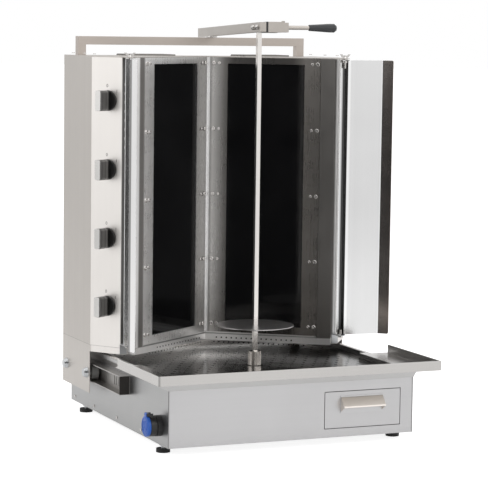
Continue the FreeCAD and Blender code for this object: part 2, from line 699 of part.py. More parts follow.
def makeCollar():
    def ring(grow):
        return rectangle(f"-halfWidth - {grow}", f"halfWidth + {grow}", f"-halfDepth - {grow}", f"halfDepth + {grow}")
    body = newBody("rim_collar")
    bandLow = "wallTop - flareBand"
    addPad(body, "XY", [ring("flareOut")], bandLow, "wallTop")
    low = sketchOn(body, "XY", f"{bandLow} - flareRise")
    drawPath(low, ring("gauge / 2"))
    high = sketchOn(body, "XY", bandLow)
    drawPath(high, ring("flareOut"))
    loft = body.newObject("PartDesign::AdditiveLoft", "collarFlare")
    loft.Profile = low
    loft.Sections = [high]
    addPocket(body, "XY", [ring("0")], f"{bandLow} - flareRise", "wallTop")


def makeInserts():
    for side, name in ((-1, "insert_left"), (1, "insert_right")):
        near, far = "-basinFront + insertGap", "basinRear - insertGap"
        step, narrow, wide = "-basinStep + insertGap", "basinSide - insertGap", "basinWide - insertGap"
        inner = "insertGap / 2"

        def outline(trim):
            corners = [(f"{inner} + {trim}", f"{near} + {trim}"), (f"{narrow} - {trim}", f"{near} + {trim}"),
                       (f"{narrow} - {trim}", f"{step} + {trim}"), (f"{wide} - {trim}", f"{step} + {trim}"),
                       (f"{wide} - {trim}", f"{far} - {trim}"), (f"{inner} + {trim}", f"{far} - {trim}")]
            return [(f"({x}) * {side}", y) for x, y in corners]
        body = newBody(name)
        addPad(body, "XY", [outline("0")], "basinFloor", "insertTop")
        addPocket(body, "XY", [outline("gauge")], "basinFloor", "insertTop - gauge")
        addPocket(body, "XY", [("0", "-skewerY")], "basinFloor", "insertTop", "hubRadius + hubGap")


# ---- skewer and its drive -------------------------------------------------------------------

def makeDrive():
    half = "gearboxSide / 2"
    case = box("gearCase", ("-" + half, half), (f"-skewerY - {half}", f"-skewerY + {half}"), ("gearboxBottom", "gearboxTop"))
    motor = rod("motorCan", "x", ("-skewerY", "(gearboxTop + gearboxBottom) / 2"),
                (f"-{half} - motorLength", "-" + half), "motorRadius")
    bore = rod("gearBore", "z", ("0", "-skewerY"), ("gearboxTop - shaftSink", "gearboxTop"), "shaftRadius + boreFit")
    cut("gear_motor", fuse("gearUnit", [case, motor]), [bore])
    posts = [rod(f"motorPost{index}", "z", (f"({half} - postInset) * {x}", f"-skewerY + ({half} - postInset) * {y}"),
                 ("gearboxTop", "basinFloor - gauge"), "studRadius")
             for index, (x, y) in enumerate([(-1, -1), (1, -1), (-1, 1), (1, 1)])]
    group("motor_posts", posts)

    square = "(skewerBar / 2 + boreFit)"
    hub = turned("drive_hub", [("0", "gearboxTop - shaftSink"), ("shaftRadius", "gearboxTop - shaftSink"),
                 ("shaftRadius", "hubBottom"), ("hubRadius", "hubBottom"), ("hubRadius", "hubTop - seam"),
                 ("hubRadius - seam", "hubTop"), ("0", "hubTop")], skewerPlace)
    addPocket(hub, "XY", [rectangle("-" + square, square, "-" + square, square)], "hubTop - hubSocket", "hubTop")
    bar = padBody("skewer_bar", "XY", [rectangle("-skewerBar / 2", "skewerBar / 2", "-skewerBar / 2", "skewerBar / 2")],
                  "hubTop - hubSocket", "skewerTop", skewerPlace)
    addPocket(bar, "XY", [("0", "0")], "skewerTop - pinSink - 1", "skewerTop", "pinRadius + boreFit")
    plateBody = turned("meat_plate", [("0", "plateHeight - collarTall"), ("plateCollar", "plateHeight - collarTall"),
                       ("plateCollar", "plateHeight - plateGauge"), ("plateRadius", "plateHeight - plateGauge"),
                       ("plateRadius", "plateHeight"), ("0", "plateHeight")], skewerPlace)
    addPocket(plateBody, "XY", [rectangle("-" + square, square, "-" + square, square)],
              "plateHeight - collarTall", "plateHeight")


# ---- rails and rollers ----------------------------------------------------------------------

def makeRails():
    low, high, outer = "railTop - railHeight", "railTop", "halfWidth + railReach"
    channel = foldedSheet("railChannel", "XZ", [(outer, low), ("halfWidth", low), ("halfWidth", high), (outer, high)],
                          "-railFront", "railRear", railSide, "heavyGauge")
    slots = [box(f"railSlot{index}", ("halfWidth", "halfWidth + heavyGauge"),
                 (f"-railFront + railSlotPitch * {index + 0.6}", f"-railFront + railSlotPitch * {index + 0.6} + railSlotWide"),
                 (f"{low} + railSlotInset", f"{high} - railSlotInset")) for index in range(7)]
    right = cut("railRight", channel, slots)
    group("slide_rails", [right, mirrored("railLeft", right)])


def makeRollers():
    face, sheetIn = "halfWidth + heavyGauge + rollerGap", "columnHalf - gauge"
    axle = [("0", "-rollerGap / 2"), ("axleRadius", "-rollerGap / 2"), ("axleRadius", "rollerWidth + slack"),
            ("axleShoulder", "rollerWidth + slack"), ("axleShoulder", f"{sheetIn} - ({face})"),
            ("axleRadius", f"{sheetIn} - ({face})"), ("axleRadius", f"columnHalf - ({face})"),
            ("axleHead", f"columnHalf - ({face})"), ("axleHead * 0.7", f"columnHalf + axleDome - ({face})"),
            ("0", f"columnHalf + axleDome - ({face})")]
    wheel = [("axleRadius + boreFit", "0"), ("rollerRadius - rollerChamfer", "0"), ("rollerRadius", "rollerChamfer"),
             ("rollerRadius", "rollerWidth - rollerChamfer"), ("rollerRadius - rollerChamfer", "rollerWidth"),
             ("axleRadius + boreFit", "rollerWidth")]
    axles = []
    for number, (side, along) in enumerate([(-1, "rollerFront"), (1, "rollerFront"), (-1, "rollerRear"), (1, "rollerRear")]):
        spot = FreeCAD.Placement(vector(f"({face}) * {side}", along, "railMid"),
                                 FreeCAD.Rotation(FreeCAD.Vector(0, 1, 0), 90 * side))
        turned(f"roller_{number + 1}", wheel, spot)
        axles.append(turned(f"axle{number}", axle, spot))
    group("roller_axles", axles)


# ---- heater column --------------------------------------------------------------------------

def makePan():
    rear, low, high = "coverRear", "panFloor", "panTop"
    front = [("-panelX", "panelY"), ("0", "apexY"), ("panelX", "panelY")]
    postR = [("cheekX", "cheekY"), ("cheekBackX", "postY"), ("postX", "postY"), ("columnHalf", "sideFront"),
             ("columnHalf", rear)]
    postL = [(f"-({x})", y) for x, y in reversed(postR)]
    outline = postL + front + postR
    floor = plate("panFloorPlate", "XY", outline, low, f"{low} + gauge")
    band = foldedSheet("panBand", "XY", outline, low, high, bandSide)
    sill = foldedSheet("panSill", "XY", [(x, f"{y} + frameGauge / {facing:.4f}") for x, y in front], low,
                       "frameBottom + sillLap", sillSide)
    rearWall = box("panRear", ("-columnHalf", "columnHalf"), (f"{rear} - gauge", rear), (low, high))
    skirts = []
    for side in (-1, 1):
        inner, outer = ("columnHalf - gauge", "columnHalf") if side > 0 else ("-columnHalf", "gauge - columnHalf")
        skirt = box(f"skirt{side + 1}", (inner, outer), ("sideFront + skirtSetback", "columnRear"), ("skirtBottom", high))
        skirts.append(skirt)
    holes = [rod(f"axleHole{index}", "x", (along, "railMid"), ("-columnHalf - 1", "columnHalf + 1"), "axleRadius + boreFit")
             for index, along in enumerate(["rollerFront", "rollerRear"])]
    cut("column_pan", fuse("panWhole", [floor, band, sill, rearWall] + skirts), holes)


def makeSides():
    flange = "columnHalf - sideFlange"
    foldedSheet("side_panel_left", "XY", [(f"-({flange})", "columnRear"), ("-columnHalf", "columnRear"),
                ("-columnHalf", "sideFront + seam")], "panTop", "sheetTop", leftSide)
    right = [(flange, "columnRear"), ("columnHalf", "columnRear"), ("columnHalf", "sideFront"), ("postX", "postY"),
             ("postX - postReturn", "postY")]
    foldedSheet("side_panel_right", "XY", right, "panTop", "sheetTop", rightSide)
    control = foldedSheet("controlSheet", "XY", [("-columnHalf", "sideFront"), ("-postX", "postY"),
                          ("postReturn - postX", "postY")], "panTop", "sheetTop", controlSide)
    holes = []
    for index in range(4):
        hole = doc.addObject("Part::Cylinder", f"spindleHole{index}")
        hole.Placement = controlPlace(zoneHeight(index)).multiply(FreeCAD.Placement(FreeCAD.Vector(0, 0, -5), FreeCAD.Rotation()))
        hole.setExpression("Radius", formula("spindleRadius + slack"))
        hole.Height = 10
        holes.append(hole)
    cut("control_panel", control, holes)
    cheek = [("panelX + seam * 0.8", "panelY - seam * 0.6"), ("cheekX", "cheekY"), ("cheekBackX", "postY"),
             ("postX - postReturn - seam", "postY")]
    rightCheek = foldedSheet("cheekRight", "XY", cheek, "panTop", "sheetTop", cheekSide)
    group("front_posts", [rightCheek, mirrored("cheekLeft", rightCheek)])


def makeCovers():
    inner = "columnHalf - gauge"
    wall = foldedSheet("coverWall", "XY", [(f"-({inner})", "coverRear - coverFlange"), (f"-({inner})", "coverRear"),
                       (inner, "coverRear"), (inner, "coverRear - coverFlange")], "panTop", "sheetTop", coverSide)
    slots = [box(f"coverSlot{row}_{column}", (f"coverSlotPitch * {column} - coverSlotWide / 2",
                 f"coverSlotPitch * {column} + coverSlotWide / 2"), ("coverRear - gauge * 2", "coverRear + gauge"),
                 (f"coverSlotLow + coverSlotStep * {row}", f"coverSlotLow + coverSlotStep * {row} + coverSlotTall"))
             for row in range(8) for column in (-1, 0, 1)]
    cut("rear_cover", wall, slots)

    ear = "earReach"
    right = [("cheekX", "cheekY"), (f"hingeX - {ear}", f"hingeY - {ear} * 0.4"), (f"hingeX - {ear} * 0.4", f"hingeY - {ear}"),
             (f"hingeX + {ear} * 0.4", f"hingeY - {ear}"), (f"hingeX + {ear}", f"hingeY - {ear} * 0.4"),
             (f"hingeX + {ear}", "postY"), ("postX", "postY"), ("columnHalf", "sideFront"), ("columnHalf", "columnRear"),
             ("columnHalf - sideFlange", "columnRear"), ("columnHalf - sideFlange", "coverRear")]
    left = [(f"-({x})", y) for x, y in reversed(right)]
    outline = left + [("-panelX", "panelY"), ("0", "apexY"), ("panelX", "panelY")] + right
    body = newBody("top_cover")
    addPad(body, "XY", [outline], "sheetTop", "columnTop")
    addPocket(body, "XY", [("hingeX", "hingeY"), ("-hingeX", "hingeY")], "sheetTop", "columnTop", "pivotRadius + boreFit")
    for column in (-1, 1):
        hood = sketchOn(body, "YZ", f"louvreX * {column} - louvreWide / 2")
        drawPath(hood, [("louvreY", "columnTop - seam / 2"), ("louvreY + louvreRun", "columnTop - seam / 2"),
                        ("louvreY + louvreRun", "columnTop + louvreTall * 0.4"),
                        ("louvreY + louvreRun * 0.6", "columnTop + louvreTall"),
                        ("louvreY + seam", "columnTop + louvreTall")])
        bump = body.newObject("PartDesign::Pad", f"louvre{column + 1}")
        bump.Profile = hood
        bump.setExpression("Length", formula("louvreWide"))
        rows = body.newObject("PartDesign::LinearPattern", f"louvres{column + 1}")
        rows.Originals = [bump]
        rows.Direction = (originPart(body, "Y_Axis"), [""])
        rows.Mode = "Spacing"
        rows.setExpression("Offset", formula("louvrePitch"))
        rows.Occurrences = 5
        body.Tip = rows


def makeHeating():
    for side, name in ((-1, "frame_left"), (1, "frame_right")):
        place = panelPlace(side)
        near, far = panelSpan(side, "cornerHalf", "panelRun")
        nearW, farW = panelSpan(side, "windowInner", "windowOuter")
        frame = padBody(name, "XY", [rectangle(near, far, "frameBottom", "sheetTop"),
                        rectangle(nearW, farW, "windowBottom", "windowTop")], "-frameGauge", "0", place)
    panes, trays, bars = [], [], []
    for side in (-1, 1):
        place = panelPlace(side)
        nearG, farG = panelSpan(side, "windowInner - glassLap", "windowOuter + glassLap")
        pane = padBody(f"pane{side + 1}", "XY", [rectangle(nearG, farG, "windowBottom - glassLap", "windowTop + glassLap")],
                       "-frameGauge - glassGauge", "-frameGauge", place)
        panes.append(pane)
        for zone in range(4):
            middle = f"(zoneBottom + zonePitch * {zone})"
            nearT, farT = panelSpan(side, "windowInner + trayInset", "windowOuter - trayInset")
            nearI, farI = panelSpan(side, "windowInner + trayInset + trayWall", "windowOuter - trayInset - trayWall")
            low, high = f"{middle} - zoneTall / 2", f"{middle} + zoneTall / 2"
            tray = newBody(f"tray{side + 1}_{zone}", place)
            addPad(tray, "XY", [rectangle(nearT, farT, low, high)], "glassBack - trayDepth", "glassBack")
            addPocket(tray, "XY", [rectangle(nearI, farI, f"{low} + trayWall", f"{high} - trayWall")],
                      "glassBack - trayHollow", "glassBack")
            strips = []
            for index in range(5):
                across = f"{nearT if side > 0 else nearT} + ({farT} - ({nearT})) * {(index + 1) / 6:.4f}"
                strips.append(rectangle(f"{across} - ribbonWide / 2", f"{across} + ribbonWide / 2",
                                        f"{low} + trayWall * 2", f"{high} - trayWall * 2"))
            addPad(tray, "XY", strips, "glassBack - trayHollow", "glassBack - trayHollow + ribbonTall")
            trays.append(tray)
        for index, spot in enumerate(["windowInner + railInset", "windowOuter - railInset"]):
            nearR, farR = panelSpan(side, f"{spot} - carrierWide / 2", f"{spot} + carrierWide / 2")
            bars.append(padBody(f"carrier{side + 1}_{index}", "XY", [rectangle(nearR, farR, "panFloor + gauge", "sheetTop")],
                                "glassBack - trayDepth - carrierDepth", "glassBack - trayDepth", place))
    group("ceramic_glass", panes)
    group("heating_elements", trays)
    group("element_carriers", bars)
    across, back = f"cornerHalf * {panelOut.x:.6f}", f"apexY + cornerHalf * {panelOut.y:.6f}"
    foldedSheet("corner_strip", "XY", [("-" + across, back), ("0", "apexY"), (across, back)],
                "frameBottom", "sheetTop", stripSide)


def makeControls():
    cases = []
    for index in range(4):
        place = controlPlace(zoneHeight(index))
        half = "regulatorSide / 2"
        case = newBody(f"regulator{index}", place)
        addPad(case, "XY", [rectangle("-" + half, half, "-" + half, half)], "-gauge - regulatorDepth", "-gauge")
        addPad(case, "XY", [("0", "0")], "-gauge", "spindleProud", "spindleRadius")
        cases.append(case)
        knob = turned(f"knob_{index + 1}", [("0", "knobGap"), ("knobRadius - seam", "knobGap"),
                      ("knobRadius", "knobGap + seam"), ("knobRadius - seam", "knobSkirt"), ("0", "knobSkirt")], place)
        addPad(knob, "XY", [[("-gripWidth / 2", "-knobRadius * 0.8"), ("-gripWidth / 4", "-knobRadius * 0.98"),
               ("gripWidth / 4", "-knobRadius * 0.98"), ("gripWidth / 2", "-knobRadius * 0.8"),
               ("gripWidth / 2", "knobRadius * 0.8"), ("gripWidth / 4", "knobRadius * 0.98"),
               ("-gripWidth / 4", "knobRadius * 0.98"), ("-gripWidth / 2", "knobRadius * 0.8")]], "knobSkirt", "knobProud")
        addPocket(knob, "XY", [("0", "0")], "knobGap", "spindleProud + slack", "spindleRadius + boreFit")
    group("energy_regulators", cases)


def makeWing(name, side, angle):
    back, ear = "hingeBack", "earHalf"
    path = [(f"-{ear}", back), (ear, back), (ear, "0"), (f"{ear} + wingFace", "0"),
            (f"{ear} + wingFace + wingFlange * {math.cos(flangeTurn):.6f}", f"-wingFlange * {math.sin(flangeTurn):.6f}")]
    path = [(f"({x}) * {side}", y) for x, y in path]
    leaf = foldedSheet(name + "Leaf", "XY", path, "wingBottom", "wingTop", side * wingSide)
    parts = [leaf]
    for place, low in (("Low", "wingBottom"), ("High", "wingTop - earGauge")):
        edge = f"-{ear} * {side}", f"{ear} * {side}"
        span = edge if side > 0 else (edge[1], edge[0])
        parts.append(box(name + "Ear" + place, span, (f"-{ear}", back), (low, f"{low} + earGauge")))
    whole = fuse(name + "Whole", parts)
    doc.recompute()
    corner = [index + 1 for index, edge in enumerate(whole.Shape.Edges) if isFlangeCorner(edge, side)]
    rounded = doc.addObject("Part::Fillet", name + "Rounded")
    rounded.Base = whole
    rounded.Edges = [(index, value("wingCorner"), value("wingCorner")) for index in corner]
    holes = rod(name + "Hole", "z", ("0", "0"), ("wingBottom", "wingTop"), "pivotRadius + boreFit")
    wing = cut(name, rounded, [holes])
    wing.Placement = FreeCAD.Placement(vector(f"hingeX * {side}", "hingeY", 0), FreeCAD.Rotation(up, angle))


def isFlangeCorner(edge, side):
    """True for the two short edges at the ends of a wing's free flange."""
    reach = value("earHalf + wingFace + wingFlange * 0.7")
    middle = edge.CenterOfMass
    return abs(edge.Length - value("gauge")) < 0.01 and middle.x * side > reach and \
        min(abs(middle.z - value("wingBottom")), abs(middle.z - value("wingTop"))) < 0.01


def makeHinges():
    brackets, bolts = [], []
    for side in (-1, 1):
        x = f"hingeX * {side}"
        near, far = f"{x} - earHalf", f"{x} + earHalf"
        leg = foldedSheet(f"bracketLeg{side + 1}", "YZ", [("postY", "panFloor + seam"), ("postY", "bracketTop"),
                          ("hingeY - earHalf", "bracketTop")], near, far, bracketSide, "heavyGauge")
        hole = rod(f"bracketHole{side + 1}", "z", (x, "hingeY"), ("panTop", "wingBottom"), "pivotRadius + boreFit")
        brackets.append(cut(f"bracket{side + 1}", leg, [hole]))
        place = FreeCAD.Placement(vector(x, "hingeY", 0), FreeCAD.Rotation())
        screw = turned(f"lowScrew{side + 1}", [("0", "bracketTop - heavyGauge - headTall"), ("headRadius", "bracketTop - heavyGauge - headTall"),
                       ("headRadius", "bracketTop - heavyGauge"), ("pivotRadius", "bracketTop - heavyGauge"),
                       ("pivotRadius", "wingBottom + screwRise"), ("0", "wingBottom + screwRise")], place)
        nutTop = "wingTop - earGauge - slack"
        bolt = turned(f"highBolt{side + 1}", [("0", f"{nutTop} - boltDrop"), ("pivotRadius", f"{nutTop} - boltDrop"),
                      ("pivotRadius", f"{nutTop} - nutTall"), ("headRadius", f"{nutTop} - nutTall"), ("headRadius", nutTop),
                      ("pivotRadius", nutTop), ("pivotRadius", "wingTop + slack"), ("headRadius", "wingTop + slack"),
                      ("headRadius", "sheetTop"), ("pivotRadius", "sheetTop"), ("pivotRadius", "columnTop"),
                      ("headRadius", "columnTop"), ("pivotRadius * 1.4", "columnTop + wingNutTall * 0.6"),
                      ("pivotRadius * 1.4", "columnTop + wingNutTall"), ("0", "columnTop + wingNutTall")], place)
        for sign in (-1, 1):
            addPad(bolt, "XZ", [[(f"pivotRadius * {sign}", "columnTop + seam"), (f"wingNutReach * 0.6 * {sign}", "columnTop + seam * 3"),
                   (f"wingNutReach * {sign}", "columnTop + wingNutTall + seam * 3"),
                   (f"wingNutReach * 0.6 * {sign}", "columnTop + wingNutTall + seam * 3"),
                   (f"pivotRadius * {sign}", "columnTop + wingNutTall * 0.6")]], "-seam", "seam")
        bolts += [screw, bolt]
    group("hinge_brackets", brackets)
    group("hinge_bolts", bolts)


# ---- portal, arm and lifting lever ----------------------------------------------------------

def makePortal():
    legs, y = [], ("portalY", "portalY + tubeSize")
    for side in (-1, 1):
        outer, inner = f"portalHalf * {side}", f"(portalHalf - tubeSize) * {side}"
        x = (inner, outer) if side > 0 else (outer, inner)
        tube = box(f"legTube{side + 1}", x, y, ("deckHeight", "portalTop - tubeSize"))
        foot = box(f"legFoot{side + 1}", (f"{x[0]} - footLap", f"{x[1]} + {'0' if side > 0 else 'footLap'}") if side > 0
                   else (f"{x[0]}", f"{x[1]} + footLap"), ("portalY - slack * 10", "portalY + tubeSize + slack * 10"),
                   ("deckHeight", "deckHeight + heavyGauge"))
        hollow = box(f"legHollow{side + 1}", (f"{x[0]} + tubeWall", f"{x[1]} - tubeWall"),
                     (f"{y[0]} + tubeWall", f"{y[1]} - tubeWall"), ("deckHeight", "portalTop - tubeSize"))
        legs.append(cut(f"leg{side + 1}", fuse(f"legSolid{side + 1}", [tube, foot]), [hollow]))
    group("portal_legs", legs)
    bar = box("barTube", ("-portalHalf", "portalHalf"), y, ("portalTop - tubeSize", "portalTop"))
    hollow = box("barHollow", ("tubeWall - portalHalf", "portalHalf - tubeWall"), (f"{y[0]} + tubeWall", f"{y[1]} - tubeWall"),
                 ("portalTop - tubeSize + tubeWall", "portalTop - tubeWall"))
    bolt = rod("barBolt", "z", ("armPivotX", "portalY + tubeSize / 2"), ("portalTop - tubeSize / 2", "portalTop"),
               "pivotBolt + boreFit")
    cut("portal_bar", bar, [hollow, bolt])


def armBox(name, x, y, z):
    """A box in the arm's own frame: x across, y towards the pivot, z up from its underside."""
    return padBody(name, "XY", [rectangle(x[0], x[1], y[0], y[1])], z[0], z[1], armPlace)


def armRod(name, y, z, span, radius):
    """A round bar across the arm."""
    body = newBody(name, armPlace)
    addPad(body, "YZ", [(y, z)], span[0], span[1], radius)
    return body


def makeArm():
    half, nose, tail = "armWide / 2", "-armNose", "armRun + armTail"
    tube = armBox("armSolid", ("-" + half, half), (nose, tail), ("0", "armTall"))
    addPocket(tube, "XY", [rectangle(f"armWall - {half}", f"{half} - armWall", f"{nose} + armWall", f"{tail} - armWall")],
              "armWall", "armTall - armWall")
    window = armBox("armWindow", ("0", half), ("-tongueWide / 2 - slack", "tongueWide / 2 + slack"), ("armWall", "armTall - armWall"))
    pinHole = rod("armPinHole", "z", ("0", "-skewerY"), ("armHeight - armTall", "armHeight + armTall * 2"), "pinRadius + boreFit")
    boltHoles = [armRod(f"armBoltHole{sign + 1}", f"boltSpacing / 2 * {sign}", "armTall / 2", (f"-{half}", half), "boltRadius + boreFit")
                 for sign in (-1, 1)]
    pivotHole = rod("armPivotHole", "z", ("armPivotX", "portalY + tubeSize / 2"), ("portalTop", "armHeight"),
                    "pivotBolt + boreFit")
    cut("arm_tube", tube, [window, pinHole, pivotHole] + boltHoles)

    inner = f"{half} - armWall"
    block = armBox("blockSolid", (f"-({inner})", inner), ("-blockRun / 2", "blockRun / 2"), ("armWall", "armTall - armWall"))
    addPocket(block, "XY", [rectangle(f"-({inner})", inner, "-tongueWide / 2 - slack", "tongueWide / 2 + slack")],
              "armWall + bushTall", "armTall - armWall")
    cut("bearing_block", block, [rod("blockPinHole", "z", ("0", "-skewerY"), ("armHeight", "armHeight + armTall"), "pinRadius + boreFit")]
        + [armRod(f"blockBoltHole{sign + 1}", f"boltSpacing / 2 * {sign}", "armTall / 2", (f"-{half}", half), "boltRadius + boreFit")
           for sign in (-1, 1)])

    spacer = armBox("spacerSolid", (half, "spacerWide"), ("-forkRun / 2", "forkRun / 2"), ("-seam", "armTall + seam"))
    spacerTools = [armBox("spacerWindow", (half, "spacerWide"), ("-tongueWide / 2 - slack", "tongueWide / 2 + slack"),
                          ("armWall", "armTall - armWall"))]
    spacerTools += [armRod(f"spacerHole{sign + 1}", f"boltSpacing / 2 * {sign}", "armTall / 2", (half, "spacerWide"), "boltRadius + boreFit")
                    for sign in (-1, 1)]
    cut("arm_spacer", spacer, spacerTools)

    outer = "(spacerWide + forkWide)"
    fork = armBox("forkSolid", ("spacerWide", outer), ("-forkRun / 2", "forkRun / 2"), ("-forkDrop", "armTall + forkRise"))
    forkTools = [armBox("forkSlot", ("spacerWide", outer), ("-tongueWide / 2 - slack", "tongueWide / 2 + slack"),
                        ("-forkDrop", "armTall - armWall")),
                 armBox("forkRelief", (f"{outer} - reliefRun", outer), ("-hubWide / 2 - slack", "hubWide / 2 + slack"),
                        ("-forkDrop", "armTall / 2"))]
    pivotHoles = newBody("forkPivotBore", armPlace)
    addPad(pivotHoles, "XZ", [("leverPivot", "armTall / 2")], "-forkRun / 2 + pivotInset", "forkRun / 2 - pivotInset", "pinRadius + boreFit")
    boltBores = [armRod(f"forkBoltHole{sign + 1}", f"boltSpacing / 2 * {sign}", "armTall / 2", ("spacerWide", "spacerWide + forkWide / 2"),
                        "boltRadius + boreFit") for sign in (-1, 1)]
    cut("lever_fork", fork, forkTools + [pivotHoles] + boltBores)

    bolts = []
    for sign in (-1, 1):
        bolt = turned(f"armBolt{sign + 1}", [("0", "-domeTall"), ("nutRadius * 0.6", "-domeTall * 0.85"), ("nutRadius", "-domeTall * 0.5"),
                      ("nutRadius", "0"), ("boltRadius", "0"), ("boltRadius", f"{half} + spacerWide + forkWide / 2"),
                      ("0", f"{half} + spacerWide + forkWide / 2")],
                      armPlace.multiply(FreeCAD.Placement(vector("-" + half, f"boltSpacing / 2 * {sign}", "armTall / 2"),
                                                          FreeCAD.Rotation(FreeCAD.Vector(0, 1, 0), 90))))
        bolts.append(bolt)
    pivot = newBody("leverPivotPin", armPlace)
    addPad(pivot, "XZ", [("leverPivot", "armTall / 2")], "-forkRun / 2 + pivotInset", "forkRun / 2 - pivotInset", "pinRadius")
    group("arm_bolts", bolts + [pivot])

    clamp = [("0", "-tubeWall - nutTall"), ("pivotNut", "-tubeWall - nutTall"), ("pivotNut", "-tubeWall"),
             ("pivotBolt", "-tubeWall"), ("pivotBolt", "pivotStem"), ("0", "pivotStem")]
    stem = turned("pivotStemBolt", clamp, FreeCAD.Placement(vector("armPivotX", "portalY + tubeSize / 2", "portalTop"), FreeCAD.Rotation()))
    atPivot = armPlace.multiply(FreeCAD.Placement(vector("0", "armRun", "0"), FreeCAD.Rotation()))
    washer = turned("pivotWasher", [("pivotBolt + slack", "-washerTall"), ("washerRadius", "-washerTall"), ("washerRadius", "0"),
                    ("pivotBolt + slack", "0")], atPivot)
    nut = turned("pivotNutPart", [("pivotBolt + slack", "armWall"), ("pivotNut", "armWall"), ("pivotNut", "armWall + nutTall"),
                 ("pivotBolt + slack", "armWall + nutTall")], atPivot)
    group("arm_pivot", [stem, washer, nut])


def makeLever():
    outer = "(spacerWide + forkWide)"
    hubOut = f"({outer} + slack + leverHub)"
    lever = newBody("leverSolid", armPlace)
    addPad(lever, "XY", [rectangle(f"{outer} + slack", hubOut, "-hubWide / 2", "hubWide / 2")], "0", "armTall")
    addPad(lever, "XY", [rectangle("-pinRadius - slack", f"{outer} + slack * 2", "-tongueWide / 2", "tongueWide / 2")],
           "tongueLow", "armTall / 2 + tongueHalf")
    addPocket(lever, "XY", [rectangle("-pinRadius - slack", "tongueRun", "-tongueWide / 2", "tongueWide / 2")],
              "tongueLow + tongueTip", "armTall")
    addPocket(lever, "XY", [rectangle("-pinRadius - slack", "tongueSlot", "-pinRadius - seam", "pinRadius + seam")], "0", "armTall")
    bore = newBody("leverBore", armPlace)
    addPad(bore, "XZ", [("leverPivot", "armTall / 2")], "-forkRun / 2", "forkRun / 2", "pinRadius + boreFit")
    body = cut("leverBody", lever, [bore])
    rodPart = armRod("leverRodPart", "0", "armTall / 2", (f"{hubOut} - 2", f"{hubOut} + leverRod + gripSink"), "leverRodRadius")
    screw = newBody("leverScrew", armPlace)
    addPad(screw, "XY", [(f"{outer} + slack + leverHub / 2", "0")], "armTall - 1", "armTall + screwTall", "screwRadius")
    fuse("lever_arm", [body, rodPart, screw])
    atGrip = armPlace.multiply(FreeCAD.Placement(vector(f"{hubOut} + leverRod", "0", "armTall / 2"), FreeCAD.Rotation(FreeCAD.Vector(0, 1, 0), 90)))
    turned("lever_grip", [("leverRodRadius", "0"), ("gripThin", "0"), ("gripThick", "leverGrip * 0.75"), ("gripThick", "leverGrip * 0.92"),
           ("gripThick * 0.6", "leverGrip"), ("0", "leverGrip"), ("0", "gripSink"), ("leverRodRadius", "gripSink")], atGrip)
    pinTop = "armTall - armWall - seam"
    pin = [("0", "-pinSink"), ("pinRadius - seam", "-pinSink"), ("pinRadius", "seam - pinSink"), ("pinRadius", "pinCollar"),
           ("collarRadius", "pinCollar"), ("collarRadius", "pinCollar + collarThick"), ("pinRadius", "pinCollar + collarThick"),
           ("pinRadius", pinTop), ("0", pinTop)]
    turned("centre_pin", pin, FreeCAD.Placement(vector("0", "-skewerY", "armHeight"), FreeCAD.Rotation()))


# ---- drawer and power inlet -----------------------------------------------------------------

def makeDrawer():
    left, right = "drawerX - drawerWidth / 2", "drawerX + drawerWidth / 2"
    face = "-halfDepth"
    padBody("drawer_front", "XZ", [rectangle(left, right, "drawerBottom", "drawerTop")], face, f"{face} + gauge")
    boxLeft, boxRight = f"{left} + drawerSide", f"{right} - drawerSide"
    body = newBody("drawer_box")
    addPad(body, "XY", [rectangle(boxLeft, boxRight, f"{face} + gauge", f"{face} + gauge + drawerRun")], "drawerFloor", "drawerFloor + drawerTall")
    addPocket(body, "XY", [rectangle(f"{boxLeft} + gauge", f"{boxRight} - gauge", f"{face} + gauge * 2", f"{face} + drawerRun")],
              "drawerFloor + gauge", "drawerFloor + drawerTall")
    runners = []
    for side, edge in ((1, boxLeft), (-1, boxRight)):
        lower, upper = f"({edge}) - runnerWide * {side}", f"({edge}) + runnerWide * {side}"
        runners.append(foldedSheet(f"runner{side + 1}", "XZ", [(lower, "footHeight + gauge * 2"), (f"{edge}", "footHeight + gauge * 2"),
                                   (f"{edge}", "drawerFloor - slack"), (upper, "drawerFloor - slack")],
                                   f"{face} + runnerSetback", f"{face} + drawerRun", side * runnerSide))
    group("drawer_runners", runners)

    pull = newBody("drawer_handle")
    middle = "drawerX - pullShift"

    ends = (f"{middle} - pullWidth / 2", f"{middle} + pullWidth / 2")
    front = f"{face} - pullDepth"
    addPad(pull, "XZ", [rectangle(ends[0], ends[1], "pullBottom - seam * 3", "pullTop")], f"{face} - gauge", face)
    addPad(pull, "YZ", [[(face, "pullTop - seam"), (front, "pullTop - pullFall"), (front, "pullTop - pullFall - pullLip"),
                         (face, "pullBottom")]], ends[0] + " + seam", ends[1] + " - seam")
    addPocket(pull, "YZ", [[(f"{face} - gauge", "pullTop - seam - gauge * 2"), (f"{front} + gauge", "pullTop - pullFall - gauge"),
                            (f"{front} + gauge", "pullBottom - seam"), (f"{face} - gauge", "pullBottom - seam")]],
              ends[0] + " + seam + gauge", ends[1] + " - seam - gauge")


